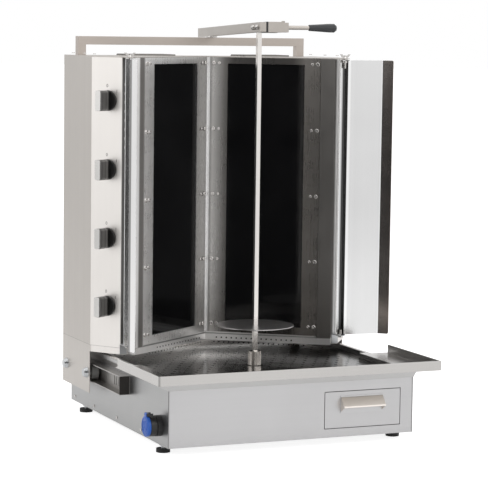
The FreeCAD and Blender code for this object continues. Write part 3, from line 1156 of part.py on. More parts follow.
def makeInlet():
    out = FreeCAD.Placement(vector("-halfWidth", "-inletY", "inletZ"), FreeCAD.Rotation(FreeCAD.Vector(0, 1, 0), -90))
    wall = "inletRadius - inletWall"
    shell = [("0", "-inletSink"), (wall, "-inletSink"), (wall, "0"), ("inletRadius + seam / 2", "0"), ("inletRadius + seam / 2", "inletFlange"),
             ("inletRadius - seam * 2", "inletFlange"), ("inletRadius - seam * 2", "inletFlange + seam * 2"),
             ("inletRadius", "inletFlange + seam * 3"), ("inletRadius", "inletReach"), (f"{wall} - seam", "inletReach"),
             (f"{wall} - seam", "inletFlange"), ("0", "inletFlange")]
    body = turned("inletBody", shell, out)
    lugs = []
    lidTop = "inletRadius + lidPivot"
    for sign in (-1, 1):
        low, high = ("lugGap / 2", "lugGap / 2 + lugWide") if sign > 0 else ("-lugGap / 2 - lugWide", "-lugGap / 2")
        lug = newBody(f"lug{sign + 1}", out)
        ear = [(wall, "inletReach - lugRun"), (f"{lidTop} + lugWide / 2", "inletReach - lugRun"),
               (f"{lidTop} + lugWide / 2", "inletReach + (lidThick + lugWide) / 2"),
               ("inletRadius + slack", "inletReach + (lidThick + lugWide) / 2"),
               ("inletRadius + slack", "inletReach - seam"), (wall, "inletReach - seam")]
        addPad(lug, "XZ", [ear], low, high)
        lugs.append(lug)
    socket = fuse("inletSocket", [body] + lugs)
    pinHole = newBody("lidPinHole", out)
    pinAt = (f"{lidTop}", "inletReach + lidThick / 2")
    addPad(pinHole, "XZ", [pinAt], "-lugGap / 2 - lugWide", "lugGap / 2 + lugWide", "lidPin")
    hinge = newBody("lidHingePin", out)
    addPad(hinge, "XZ", [pinAt], "-lugGap / 2 - lugWide", "lugGap / 2 + lugWide", "lidPin")
    bare = cut("inletBare", socket, [pinHole])
    group("power_inlet", [bare, hinge])
    pins = [rodAt(f"inletPin{index}", out, (f"contactRing * {math.cos(turn):.5f}", f"contactRing * {math.sin(turn):.5f}"),
                  "inletFlange", "inletReach - seam * 3", "contactRadius") for index, turn in
            enumerate([math.radians(90), math.radians(210), math.radians(330)])]
    group("inlet_pins", pins)
    lid = turned("lidSolid", [("0", "inletReach + slack"), ("inletRadius - seam", "inletReach + slack"), ("inletRadius", "inletReach + slack + seam"),
                 ("inletRadius", "inletReach + lidThick - seam"), ("inletRadius - seam * 2", "inletReach + lidThick"), ("0", "inletReach + lidThick")], out)
    addPad(lid, "XZ", [rectangle("inletRadius - seam * 4", lidTop, "inletReach + slack + seam", "inletReach + lidThick - seam")],
           "-lugGap / 2 + slack", "lugGap / 2 - slack")
    addPad(lid, "XZ", [pinAt], "-lugGap / 2 + slack", "lugGap / 2 - slack", "lidThick / 2 - seam / 2")
    bore = newBody("lidBore", out)
    addPad(bore, "XZ", [pinAt], "-lugGap / 2", "lugGap / 2", "lidPin + boreFit")
    cut("inlet_lid", lid, [bore])


def rodAt(name, place, centre, low, high, radius):
    body = newBody(name, place)
    addPad(body, "XY", [centre], low, high, radius)
    return body


makeBase()
makeFeet()
makeWorktop()
makeCollar()
makeInserts()
makeDrive()
makeRails()
makeRollers()
makePan()
makeSides()
makeCovers()
makeHeating()
makeControls()
makeWing("wing_left", -1, 70)
makeWing("wing_right", 1, -4.5)
makeHinges()
makePortal()
makeArm()
makeLever()
makeDrawer()
makeInlet()
doc.recompute()

nodes = """base_front base_shell base_bottom feet foot_studs worktop rim_collar insert_left insert_right
gear_motor motor_posts drive_hub skewer_bar meat_plate slide_rails roller_axles roller_1 roller_2 roller_3 roller_4
column_pan side_panel_left side_panel_right control_panel front_posts rear_cover top_cover frame_left frame_right
ceramic_glass heating_elements element_carriers corner_strip energy_regulators knob_1 knob_2 knob_3 knob_4
wing_left wing_right hinge_brackets hinge_bolts portal_legs portal_bar arm_pivot arm_tube bearing_block arm_spacer
arm_bolts lever_fork lever_arm lever_grip centre_pin drawer_front drawer_box drawer_handle drawer_runners
power_inlet inlet_pins inlet_lid""".split()

for item in doc.Objects:
    assert "Invalid" not in item.State and "Error" not in item.State, f"{item.Name}: {item.State}"
os.makedirs("parts", exist_ok=True)
for node in nodes:
    item = doc.getObject(node)
    item.Label = node
    shape = item.Shape
    assert not shape.isNull() and shape.isValid() and shape.Solids, node
    shape.exportStep(f"parts/{node}.step")
print(f"{len(nodes)} sub-parts written")
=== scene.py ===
import math

import bmesh
import bpy
from mathutils import Matrix, Vector


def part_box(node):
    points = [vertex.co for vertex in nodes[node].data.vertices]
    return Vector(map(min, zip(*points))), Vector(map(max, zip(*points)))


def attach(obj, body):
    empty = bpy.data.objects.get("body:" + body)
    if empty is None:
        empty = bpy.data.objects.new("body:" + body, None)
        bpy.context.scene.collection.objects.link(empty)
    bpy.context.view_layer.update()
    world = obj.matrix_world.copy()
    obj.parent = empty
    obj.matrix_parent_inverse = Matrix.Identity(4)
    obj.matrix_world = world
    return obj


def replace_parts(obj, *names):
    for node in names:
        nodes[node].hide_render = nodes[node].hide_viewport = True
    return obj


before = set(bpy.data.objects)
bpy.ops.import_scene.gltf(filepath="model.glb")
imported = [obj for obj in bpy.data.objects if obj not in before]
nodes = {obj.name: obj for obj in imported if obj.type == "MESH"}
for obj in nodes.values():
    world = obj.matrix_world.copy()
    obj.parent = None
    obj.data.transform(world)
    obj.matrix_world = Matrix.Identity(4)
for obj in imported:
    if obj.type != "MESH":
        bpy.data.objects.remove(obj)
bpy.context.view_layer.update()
print("loaded", len(nodes), "nodes")

xAxis, yAxis, zAxis = (1, 0, 0), (0, 1, 0), (0, 0, 1)
upward = Vector(zAxis)


# places read from the frame

def corners(node):
    low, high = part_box(node)
    return Vector(low), Vector(high)


def highest(node, outward):  # how far a piece reaches in one direction
    return max(vertex.co.dot(outward) for vertex in nodes[node].data.vertices)


rightLow, rightHigh = corners("frame_right")
apex = Vector((0, rightHigh.y, 0))  # the two heating panels meet at this corner
outer = Vector((rightHigh.x, rightLow.y, 0))
panelAlong = (outer - apex).normalized()
knobSpots = []
for number in range(1, 5):
    low, high = corners(f"knob_{number}")
    knobSpots.append((low + high) / 2)
knobOut = Vector((-0.812, -0.584, 0)).normalized()  # square to the control panel
knobRight = Vector((-knobOut.y, knobOut.x, 0))
knobFoot = min(vertex.co.dot(knobOut) for vertex in nodes["knob_1"].data.vertices)


def panelWays(side):  # along a heating panel from its corner, and straight out of its face
    run = Vector((panelAlong.x * side, panelAlong.y, 0))
    return run, Vector((run.y, -run.x, 0)) * side


# helpers for nodes: a material or a geometry tree is kept in a dictionary with its sockets

def addNode(graph, kind, **settings):
    node = graph["tree"].nodes.new(kind)
    for key, setting in settings.items():
        setattr(node, key, setting)
    return node


def feed(graph, socket, given):  # a link from another socket, or a plain value
    if isinstance(given, bpy.types.NodeSocket):
        graph["tree"].links.new(given, socket)
    elif isinstance(given, tuple) and len(given) == 3 and len(getattr(socket, "default_value", ())) == 4:
        socket.default_value = (*given, 1)
    else:
        socket.default_value = given


def reckon(graph, operation, first, second=0):
    node = addNode(graph, "ShaderNodeMath", operation=operation)
    feed(graph, node.inputs[0], first)
    feed(graph, node.inputs[1], second)
    return node.outputs[0]


def newFinish(name):
    material = bpy.data.materials.new(name)
    material.use_nodes = True
    material.node_tree.nodes.clear()
    finish = {"material": material, "tree": material.node_tree}
    finish["surface"] = addNode(finish, "ShaderNodeOutputMaterial").inputs["Surface"]
    finish["shader"] = addNode(finish, "ShaderNodeBsdfPrincipled")
    feed(finish, finish["surface"], finish["shader"].outputs["BSDF"])
    finish["place"] = addNode(finish, "ShaderNodeTexCoord").outputs["Object"]
    return finish


def noise(finish, scale, detail=3.0, stretch=(1, 1, 1), distortion=0.0):
    mapping = addNode(finish, "ShaderNodeMapping")
    feed(finish, mapping.inputs["Vector"], finish["place"])
    mapping.inputs["Scale"].default_value = stretch
    texture = addNode(finish, "ShaderNodeTexNoise")
    feed(finish, texture.inputs["Vector"], mapping.outputs["Vector"])
    texture.inputs["Scale"].default_value = scale
    texture.inputs["Detail"].default_value = detail
    texture.inputs["Distortion"].default_value = distortion
    return texture.outputs["Fac"]


def span(finish, given, low, high, fromLow=0.3, fromHigh=0.7):
    node = addNode(finish, "ShaderNodeMapRange")
    feed(finish, node.inputs["Value"], given)
    for name, number in (("From Min", fromLow), ("From Max", fromHigh), ("To Min", low), ("To Max", high)):
        node.inputs[name].default_value = number
    return node.outputs["Result"]


def mix(finish, factor, first, second, blend="MIX"):
    node = addNode(finish, "ShaderNodeMix", data_type="RGBA", blend_type=blend)
    for index, given in ((0, factor), (6, first), (7, second)):
        feed(finish, node.inputs[index], given)
    return node.outputs[2]


edgeLook = {"samples": 4, "edge": 0.8, "flat": 0.99}  # how far rounded and flat normals agree


def edgeWearAndSheen(finish, radius):  # rounded normals, and a mask that is 1 on the edges
    bevel = addNode(finish, "ShaderNodeBevel", samples=edgeLook["samples"])
    bevel.inputs["Radius"].default_value = radius
    flat = addNode(finish, "ShaderNodeNewGeometry")
    dot = addNode(finish, "ShaderNodeVectorMath", operation="DOT_PRODUCT")
    feed(finish, dot.inputs[0], bevel.outputs["Normal"])
    feed(finish, dot.inputs[1], flat.outputs["Normal"])
    mask = span(finish, dot.outputs["Value"], 1.0, 0.0, edgeLook["edge"], edgeLook["flat"])
    return bevel.outputs["Normal"], mask


def bumped(finish, height, strength, distance, normal=None):
    node = addNode(finish, "ShaderNodeBump")
    node.inputs["Strength"].default_value = strength
    node.inputs["Distance"].default_value = distance
    feed(finish, node.inputs["Height"], height)
    if normal is not None:
        feed(finish, node.inputs["Normal"], normal)
    return node.outputs["Normal"]


def banded(finish, axis, stops):  # a colour that changes along one direction of the piece
    apart = addNode(finish, "ShaderNodeVectorMath", operation="DOT_PRODUCT")
    feed(finish, apart.inputs[0], finish["place"])
    apart.inputs[1].default_value = axis
    first, last = stops[0][0], stops[-1][0]
    ramp = addNode(finish, "ShaderNodeValToRGB")
    feed(finish, ramp.inputs[0], span(finish, apart.outputs["Value"], 0, 1, first, last))
    elements = ramp.color_ramp.elements
    while len(elements) < len(stops):
        elements.new(0.5)
    for element, (place, tone) in zip(elements, stops):
        element.position = (place - first) / (last - first)
        element.color = (*tone, 1)
    return ramp.outputs["Color"]


def shade(tone, factor):
    return tuple(min(1.0, channel * factor) for channel in tone)


def grey(value, warm=0.0):
    return (value * (1 + warm * 0.5), value, value * (1 - warm * 0.5))


# brushed or rolled steel: the grain changes slowly along the brushing and fast across it

slow, fast = 3, 700
grainStretch = {"level": (slow, slow, fast), "upright": (fast, fast, slow),
                "sideways": (slow, fast, fast), "lengthways": (fast, slow, fast)}
steelLook = {"fine": 1.0, "broad": 0.09, "cloudy": 5.0, "rubbed": 23.0, "waves": 7.0, "edgeShine": 1.2,
             "roughShares": (0.94, 1.06), "rubbedShift": (-0.012, 0.018), "grainDeep": 0.0002}


def steel(name, tone, roughness, grain="upright", streak=0.015, blotch=0.02, bump=0.05, wave=0.0,
          bands=None, across=None, edge=0.0006, metal=1.0):
    finish = newFinish(name)
    shader = finish["shader"]
    stretch = grainStretch[grain]
    fine = noise(finish, steelLook["fine"], 4, stretch)
    broad = noise(finish, steelLook["broad"], 3, stretch)
    cloudy = noise(finish, steelLook["cloudy"], 4, distortion=0.6)
    rubbed = noise(finish, steelLook["rubbed"], 5)
    normal, edges = edgeWearAndSheen(finish, edge)
    shades = span(finish, broad, 1 - streak, 1 + streak)
    shades = reckon(finish, "MULTIPLY", shades, span(finish, cloudy, 1 + blotch, 1 - blotch))
    # painted sheen: the steel's colour is lighter on its edges
    shades = reckon(finish, "MULTIPLY", shades, span(finish, edges, 1.0, steelLook["edgeShine"], 0, 1))
    colour = mix(finish, 1.0, banded(finish, *bands) if bands else tone, shades, "MULTIPLY")
    if across:
        colour = mix(finish, 1.0, colour, banded(finish, *across), "MULTIPLY")
    feed(finish, shader.inputs["Base Color"], colour)
    shader.inputs["Metallic"].default_value = metal
    rough = span(finish, fine, *(roughness * share for share in steelLook["roughShares"]))
    rough = reckon(finish, "ADD", rough, span(finish, rubbed, *steelLook["rubbedShift"]))
    feed(finish, shader.inputs["Roughness"], rough)
    if wave:  # thin sheet is never quite flat
        normal = bumped(finish, noise(finish, steelLook["waves"], 2), 1.0, wave, normal)
    feed(finish, shader.inputs["Normal"], bumped(finish, fine, bump, steelLook["grainDeep"], normal))
    return finish["material"]


plasticLook = {"cloudy": 14, "rubbed": 60, "tints": (0.88, 1.12), "edgeShare": 0.5, "roughShares": (0.85, 1.2),
               "edge": 0.0006, "grainDeep": 0.0001}


def plastic(name, tone, roughness, grainSize=900, bump=0.12, scuff=1.5, bands=None):
    finish = newFinish(name)
    shader = finish["shader"]
    grain = noise(finish, grainSize, 2)
    cloudy = noise(finish, plasticLook["cloudy"], 4)
    rubbed = noise(finish, plasticLook["rubbed"], 5, distortion=0.4)
    normal, edges = edgeWearAndSheen(finish, plasticLook["edge"])
    colour = mix(finish, span(finish, cloudy, 0, 1), *(shade(tone, tint) for tint in plasticLook["tints"]))
    scuffed = reckon(finish, "MULTIPLY", edges, plasticLook["edgeShare"])
    colour = mix(finish, scuffed, colour, shade(tone, scuff))
    if bands:
        colour = mix(finish, 1.0, colour, banded(finish, *bands), "MULTIPLY")
    feed(finish, shader.inputs["Base Color"], colour)
    rough = (roughness * share for share in plasticLook["roughShares"])
    feed(finish, shader.inputs["Roughness"], span(finish, rubbed, *rough))
    feed(finish, shader.inputs["Normal"], bumped(finish, grain, bump, plasticLook["grainDeep"], normal))
    return finish["material"]


glassLook = {"haze": 9, "dark": (0.0045, 0.0045, 0.005), "pale": (0.0075, 0.0075, 0.008), "rough": (0.05, 0.11),
             "specular": 0.38, "specks": 420, "speckBump": 0.02, "speckDeep": 0.00005}


def blackGlass(name):
    finish = newFinish(name)
    shader = finish["shader"]
    haze = noise(finish, glassLook["haze"], 4, distortion=0.5)
    tone = mix(finish, span(finish, haze, 0, 1), glassLook["dark"], glassLook["pale"])
    feed(finish, shader.inputs["Base Color"], tone)
    feed(finish, shader.inputs["Roughness"], span(finish, haze, *glassLook["rough"]))
    shader.inputs["Specular IOR Level"].default_value = glassLook["specular"]
    specks = bumped(finish, noise(finish, glassLook["specks"], 2), glassLook["speckBump"], glassLook["speckDeep"])
    feed(finish, shader.inputs["Normal"], specks)
    return finish["material"]


# finishes of this grill; stops are metres along the named direction, with the tone at each

print("making finishes")
shellTone = (0.52, 0.49, 0.46)
panelTone = (0.78, 0.75, 0.72)
controlTone = (0.79, 0.76, 0.73)
lipTone = (0.56, 0.555, 0.56)
thinSheet = {"bump": 0.012, "wave": 0.0003}
baseSheet = {"grain": "level", "bump": 0.02, "wave": 0.0003}
framePress = {"streak": 0.008, "bump": 0.002, "edge": 0.0002}
foldedWing = {"bump": 0.01, "wave": 0.0003}

baseSteel = steel("baseSteel", (0.42, 0.42, 0.42), 0.36, **baseSheet)
faceSteel = steel("faceSteel", (0.55, 0.545, 0.55), 0.36, **baseSheet, across=(xAxis, (  # dark corner lines
    (-0.3, grey(0.25)), (-0.2988, grey(0.3)), (-0.2975, grey(1)), (0.2975, grey(1)), (0.2988, grey(0.3)))))
columnSteel = steel("columnSteel", shellTone, 0.38, **thinSheet)
sideSteel = steel("sideSteel", shellTone, 0.38, **thinSheet, bands=(xAxis, (  # a painted reflection along the front fold
    (0.27, grey(0.98, 0.03)), (0.279, grey(0.97, 0.03)), (0.282, shellTone), (0.345, shellTone))))
controlSteel = steel("controlSteel", panelTone, 0.36, streak=0.008, bump=0.008, bands=(xAxis, (
    (-0.345, controlTone), (-0.2812, controlTone), (-0.2795, grey(0.1, 0.05)))))  # its inner flange lies in shade
rimSteel = steel("rimSteel", (0.55, 0.535, 0.52), 0.24, "sideways", bump=0.02, across=((0.7071, 0.7071, 0), (
    (-0.5149, grey(0.45)), (-0.5134, grey(0.5)), (-0.5126, grey(1)), (0.5, grey(1)))))  # the near corner's seam
collarSteel = steel("collarSteel", (0.50, 0.495, 0.49), 0.32, "level", bump=0.02)
# painted reflections: the tray is painted dark with a bright band at the back, and darker towards the right
traySteel = steel(
    "traySteel", (0.2, 0.2, 0.2), 0.17, "sideways", blotch=0.16, bump=0.02, wave=0.0016,
    bands=(yAxis, ((-0.32, grey(0.15, 0.16)), (-0.12, grey(0.09, 0.16)), (-0.03, grey(0.15, 0.12)),
                   (0.05, grey(0.95, 0.05)))),
    across=(xAxis, ((-0.30, grey(0.85)), (-0.05, grey(1.0)), (0.10, grey(0.6)), (0.20, grey(0.22)),
                    (0.30, grey(0.15)))))
plateSteel = steel("plateSteel", (0.54, 0.525, 0.52), 0.3, "level", blotch=0.06, bump=0.02)
# painted reflections: the left frame is darker towards the corner where the panels meet
frameSteel = steel("frameSteel", (0.8, 0.8, 0.8), 0.28, **framePress, bands=(xAxis, (
    (-0.226, grey(0.98, 0.01)), (-0.05, grey(0.92, 0.02)), (-0.02, grey(0.54, 0.03)), (-0.004, grey(0.46, 0.03)))))
frameShadedCopy = steel("frameShadedCopy", (0.3, 0.3, 0.3), 0.28, **framePress, bands=(xAxis, (  # a shaded copy of the frame steel, with painted reflections: a painted highlight near the corner, darker away from it
    (0.004, grey(0.3, 0.05)), (0.01, grey(0.6, 0.05)), (0.034, grey(0.22, 0.08)),
    (0.05, grey(0.11, 0.1)), (0.17, grey(0.12, 0.12)), (0.196, grey(0.3, 0.12)))))
# painted light across the front posts: painted highlights and painted shade along their width
postSteel = steel("postSteel", (0.6, 0.6, 0.6), 0.3, blotch=0.05, bump=0.01, bands=(xAxis, (
    (-0.273, grey(0.98, 0.01)), (-0.243, grey(0.98, 0.01)),  # a painted highlight on the front
    (-0.24, grey(0.22, 0.08)), (-0.229, grey(0.22, 0.08)),  # a shaded return
    (-0.226, grey(0.45, 0.04)), (0.2, grey(0.27, 0.1)), (0.266, grey(0.27, 0.1)),  # a grey web, painted darker towards the right, then a painted highlight on the right flange
    (0.269, grey(0.97, 0.03)))))
# painted highlights and painted shade along the right wing's folds
wingSteel = steel("wingSteel", (0.74, 0.74, 0.745), 0.17, **foldedWing, bands=(xAxis, (
    (0.262, grey(0.9)), (0.268, grey(0.9)),  # a painted highlight on the ear
    (0.2725, grey(0.4)), (0.2735, grey(0.05)), (0.2815, grey(0.1)),  # its shaded fold
    (0.2826, grey(0.96)), (0.287, grey(0.96)), (0.29, grey(0.76)), (0.368, grey(0.76)),  # the face, with a painted highlight beside the fold
    (0.3705, grey(0.98)), (0.3725, (0.82, 0.75, 0.71)), (0.392, (0.72, 0.63, 0.58)))))  # a painted highlight on the bend, then the free flange
wingInner = steel("wingInner", (0.85, 0.84, 0.83), 0.2, **foldedWing, bands=(xAxis, (
    (-0.3075, grey(0.28, 0.02)), (-0.3056, grey(0.28, 0.02)),  # painted shade on a fold, then the face, painted lighter towards the column where it stands in shade
    (-0.3048, grey(0.85, 0.01)), (-0.29, grey(0.85, 0.01)), (-0.286, grey(0.97, 0.01)))))
# the corner strip is near white and half diffuse, painted light that keeps it bright
stripSteel = steel("stripSteel", (0.95, 0.945, 0.94), 0.25, metal=0.55)
portalSteel = steel("portalSteel", (0.50, 0.45, 0.41), 0.42, "level", blotch=0.03, bump=0.02)
armSteel = steel("armSteel", (0.42, 0.39, 0.36), 0.33, "lengthways", blotch=0.04, bump=0.02)
rodSteel = steel("rodSteel", (0.82, 0.79, 0.76), 0.2, streak=0.02, bump=0.01)
hubSteel = steel("hubSteel", (0.97, 0.91, 0.85), 0.26, streak=0.03, bump=0.01)
# painted light and shade on the pull: lighter at its front, darker towards the drawer front
pullSteel = steel("pullSteel", (0.7, 0.7, 0.7), 0.34, "level", bump=0.02, bands=(yAxis, (
    (-0.351, (0.93, 0.87, 0.81)), (-0.3345, (0.74, 0.68, 0.62)), (-0.3330, (0.55, 0.52, 0.49)),
    (-0.3327, lipTone), (-0.331, lipTone))))
panSteel = steel(
    "panSteel", (0.5, 0.5, 0.5), 0.36, **thinSheet,
    bands=(xAxis, (
        (-0.3312, shellTone), (-0.3302, shellTone), (-0.329, panelTone), (-0.265, panelTone),
        (-0.255, grey(0.88, 0.02)), (0.255, grey(0.88, 0.02)),
        (0.265, panelTone), (0.329, panelTone), (0.3302, shellTone))),
    across=(zAxis, (  # the dark seam under the pan's flange
        (0.074, grey(1)), (0.1885, grey(1)), (0.1903, grey(0.3)), (0.1922, grey(1)), (0.2, grey(1)))))
zinc = steel("zinc", (0.52, 0.53, 0.54), 0.30, streak=0.08, bump=0.08)
screwSteel = steel("screwSteel", (0.62, 0.60, 0.58), 0.12, streak=0.04, blotch=0.12, bump=0.03)
capSteel = steel("capSteel", (0.60, 0.59, 0.575), 0.2, streak=0.02, bump=0.02)
railSteel = steel("railSteel", (0.42, 0.405, 0.39), 0.36, "lengthways", blotch=0.06)
railEndPlastic = plastic("railEndPlastic", (0.030, 0.026, 0.023), 0.45, scuff=2)
coverSteel = steel("coverSteel", shellTone, 0.38, **thinSheet, across=(zAxis, (  # darker where its louvres are
    (0.86, grey(1)), (0.8678, grey(1)), (0.869, grey(0.3)), (0.873, grey(0.3)))))
aluminium = steel("aluminium", (0.63, 0.63, 0.64), 0.38)
brass = steel("brass", (0.55, 0.40, 0.16), 0.3, "sideways")
blackPlastic = plastic("blackPlastic", (0.016, 0.016, 0.017), 0.34, scuff=3)
knobBands = ((0, 0.06), (0.009, 0.08), (0.0112, 0.9), (0.0172, 1.0), (0.0188, 0.28),  # black skirt, bright ring
             (0.021, 0.7), (0.03, 0.74), (0.033, 0.45), (0.038, 0.55))  # then the grip, up to its top
knobPlastic = plastic("knobPlastic", (0.2, 0.193, 0.185), 0.33, scuff=1.4, bands=(
    knobOut, tuple((knobFoot + out, grey(tone)) for out, tone in knobBands)))
gripPlastic = plastic("gripPlastic", (0.032, 0.034, 0.037), 0.42, scuff=2.2)
rollerPlastic = plastic("rollerPlastic", (0.25, 0.25, 0.24), 0.45)
rubber = plastic("rubber", (0.012, 0.012, 0.012), 0.55, scuff=2)
bluePlastic = plastic("bluePlastic", (0.022, 0.125, 0.56), 0.36, scuff=1.4)
motorPaint = plastic("motorPaint", (0.05, 0.055, 0.06), 0.5, 400)
ribbonMetal = steel("ribbonMetal", (0.32, 0.30, 0.28), 0.5, "level", blotch=0.1)
carrierBoard = plastic("carrierBoard", (0.62, 0.59, 0.53), 0.9, 300, 0.3)
holeBlack = plastic("holeBlack", (0.008, 0.008, 0.008), 0.8)
markInk = plastic("markInk", (0.10, 0.095, 0.09), 0.5)
ceramicBlack = blackGlass("blackGlass")

dressing = {
    baseSteel: "base_shell base_bottom drawer_box",
    faceSteel: "base_front drawer_front",
    rimSteel: "worktop",
    collarSteel: "rim_collar",
    traySteel: "insert_left insert_right",
    plateSteel: "meat_plate",
    panSteel: "column_pan",
    columnSteel: "side_panel_left rear_cover",
    coverSteel: "top_cover",
    sideSteel: "side_panel_right",
    postSteel: "front_posts",
    controlSteel: "control_panel",
    frameSteel: "frame_left",
    frameShadedCopy: "frame_right",
    stripSteel: "corner_strip",
    wingSteel: "wing_right",
    wingInner: "wing_left",
    portalSteel: "portal_legs portal_bar",
    armSteel: "arm_tube lever_arm lever_fork bearing_block",
    rodSteel: "skewer_bar centre_pin",
    hubSteel: "drive_hub",
    zinc: "hinge_brackets foot_studs roller_axles motor_posts",
    screwSteel: "hinge_bolts arm_bolts arm_pivot",
    railSteel: "slide_rails drawer_runners",
    pullSteel: "drawer_handle",
    aluminium: "energy_regulators",
    brass: "inlet_pins",
    blackPlastic: "power_inlet arm_spacer",
    knobPlastic: "knob_1 knob_2 knob_3 knob_4",
    gripPlastic: "lever_grip",
    rollerPlastic: "roller_1 roller_2 roller_3 roller_4",
    rubber: "feet",
    bluePlastic: "inlet_lid",
    motorPaint: "gear_motor",
    ribbonMetal: "heating_elements",
    carrierBoard: "element_carriers",
    ceramicBlack: "ceramic_glass",
}
bare = set(nodes)
for material, names in dressing.items():
    for name in names.split():
        nodes[name].data.materials.clear()
        nodes[name].data.materials.append(material)
        bare.discard(name)
print("undressed:", sorted(bare))


# tools for the small pieces

def addObject(name, data):
    made = bpy.data.objects.new(name, data)
    bpy.context.scene.collection.objects.link(made)
    return made


def newPiece(name, mesh, material, body):
    piece = addObject(name, mesh)
    mesh.materials.clear()
    mesh.materials.append(material)
    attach(piece, body)
    return piece


def toMesh(work, name):
    mesh = bpy.data.meshes.new(name)
    work.to_mesh(mesh)
    work.free()
    return mesh


def fromObject(holder):  # the plain mesh that a curve or a modifier gives, without its object
    mesh = bpy.data.meshes.new_from_object(holder.evaluated_get(bpy.context.evaluated_depsgraph_get()))
    holder.modifiers.clear()
    bpy.data.objects.remove(holder)
    return mesh


def bridge(work, first, second):  # a band of faces between two rings
    for step in range(len(first)):
        after = (step + 1) % len(first)
        work.faces.new((first[step], first[after], second[after], second[step]))


def standing(spot, right, up, out):  # takes what was made flat on x and y to its place
    return Matrix.Translation(spot) @ Matrix((right, up, out)).transposed().to_4x4()


def turns(count):
    return [2 * math.pi * step / count for step in range(count)]


def newTree(name, sizes):  # a geometry tree with a named input for each size
    tree = bpy.data.node_groups.new(name, "GeometryNodeTree")
    for title, kind in (("Geometry", "Geometry"), *sizes, ("Material", "Material")):
        tree.interface.new_socket(title, in_out="INPUT", socket_type="NodeSocket" + kind)
    tree.interface.new_socket("Geometry", in_out="OUTPUT", socket_type="NodeSocketGeometry")
    return {"tree": tree, "given": tree.nodes.new("NodeGroupInput").outputs}


def endTree(graph, geometry):
    real = addNode(graph, "GeometryNodeRealizeInstances")
    feed(graph, real.inputs[0], geometry)
    paint = addNode(graph, "GeometryNodeSetMaterial")
    feed(graph, paint.inputs["Geometry"], real.outputs[0])
    feed(graph, paint.inputs["Material"], graph["given"]["Material"])
    feed(graph, addNode(graph, "NodeGroupOutput").inputs[0], paint.outputs[0])
    return graph["tree"]


def runTree(holder, tree, wanted):
    modifier = holder.modifiers.new("tree", "NODES")
    modifier.node_group = tree
    for item in tree.interface.items_tree:
        if item.in_out == "INPUT" and item.name in wanted:
            modifier[item.identifier] = wanted[item.name]
    bpy.context.view_layer.update()
    return fromObject(holder)


# screws: a pan head with a cross recess, its seat on z = 0

screwSizes = {"radius": 0.0042, "tall": 0.0022, "taper": 0.28, "sides": 20, "rings": (0.0, 0.35, 0.7, 1.0),
              "recess": 0.0019, "arm": 0.0006, "deep": 0.0012, "narrower": 0.8}


def screwHead(sizes):
    work = bmesh.new()
    rings = []
    for share in sizes["rings"]:
        radius = sizes["radius"] * (1 - sizes["taper"] * share ** 2)
        height = sizes["tall"] * math.sin(share * math.pi / 2)
        rings.append([work.verts.new((radius * math.cos(turn), radius * math.sin(turn), height))
                      for turn in turns(sizes["sides"])])
    for lower, upper in zip(rings, rings[1:]):
        bridge(work, lower, upper)
    work.faces.new(list(reversed(rings[0])))
    reach, half = sizes["recess"], sizes["arm"]
    cross = [(reach, -half), (reach, half), (half, half), (half, reach), (-half, reach), (-half, half),
             (-reach, half), (-reach, -half), (-half, -half), (-half, -reach), (half, -reach), (half, -half)]
    mouth = [work.verts.new((x, y, sizes["tall"])) for x, y in cross]
    floor = [work.verts.new((x * sizes["narrower"], y * sizes["narrower"], sizes["tall"] - sizes["deep"]))
             for x, y in cross]
    edges = [work.edges.new(pair) for pair in zip(mouth, mouth[1:] + mouth[:1])]
    edges += [work.edges.get(pair) for pair in zip(rings[-1], rings[-1][1:] + rings[-1][:1])]
    bmesh.ops.triangle_fill(work, edges=edges, use_beauty=True)
    bridge(work, mouth, floor)
    work.faces.new(floor)
    bmesh.ops.recalc_face_normals(work, faces=work.faces)
    mesh = toMesh(work, "screwHead")
    for face in mesh.polygons:
        face.use_smooth = len(face.vertices) == 4
    return mesh


def scatterTree(name):  # one shape on every point, turned to that point's outward direction
    graph = newTree(name, (("Shape", "Object"), ("Size", "Float"), ("Twist", "Float")))
    given = graph["given"]
    points = addNode(graph, "GeometryNodeMeshToPoints")
    feed(graph, points.inputs["Mesh"], given["Geometry"])
    shape = addNode(graph, "GeometryNodeObjectInfo")
    feed(graph, shape.inputs["Object"], given["Shape"])
    outward = addNode(graph, "GeometryNodeInputNamedAttribute", data_type="FLOAT_VECTOR")
    outward.inputs["Name"].default_value = "outward"
    aim = addNode(graph, "FunctionNodeAlignEulerToVector", axis="Z")
    feed(graph, aim.inputs["Vector"], outward.outputs["Attribute"])
    twist = addNode(graph, "FunctionNodeRandomValue")
    twist.inputs["Seed"].default_value = 7
    feed(graph, twist.inputs[3], given["Twist"])
    spinAxis = addNode(graph, "ShaderNodeCombineXYZ")
    feed(graph, spinAxis.inputs["Z"], twist.outputs[1])
    spin = addNode(graph, "FunctionNodeRotateEuler", space="LOCAL")
    feed(graph, spin.inputs["Rotation"], aim.outputs["Rotation"])
    feed(graph, spin.inputs["Rotate By"], spinAxis.outputs["Vector"])
    sized = addNode(graph, "GeometryNodeInputNamedAttribute", data_type="FLOAT")
    sized.inputs["Name"].default_value = "size"
    put = addNode(graph, "GeometryNodeInstanceOnPoints")
    feed(graph, put.inputs["Points"], points.outputs["Points"])
    feed(graph, put.inputs["Instance"], shape.outputs["Geometry"])
    feed(graph, put.inputs["Rotation"], spin.outputs["Rotation"])
    feed(graph, put.inputs["Scale"], reckon(graph, "MULTIPLY", sized.outputs["Attribute"], given["Size"]))
    return endTree(graph, put.outputs["Instances"])


scatterSizes = {"Size": 1.0, "Twist": 6.28}


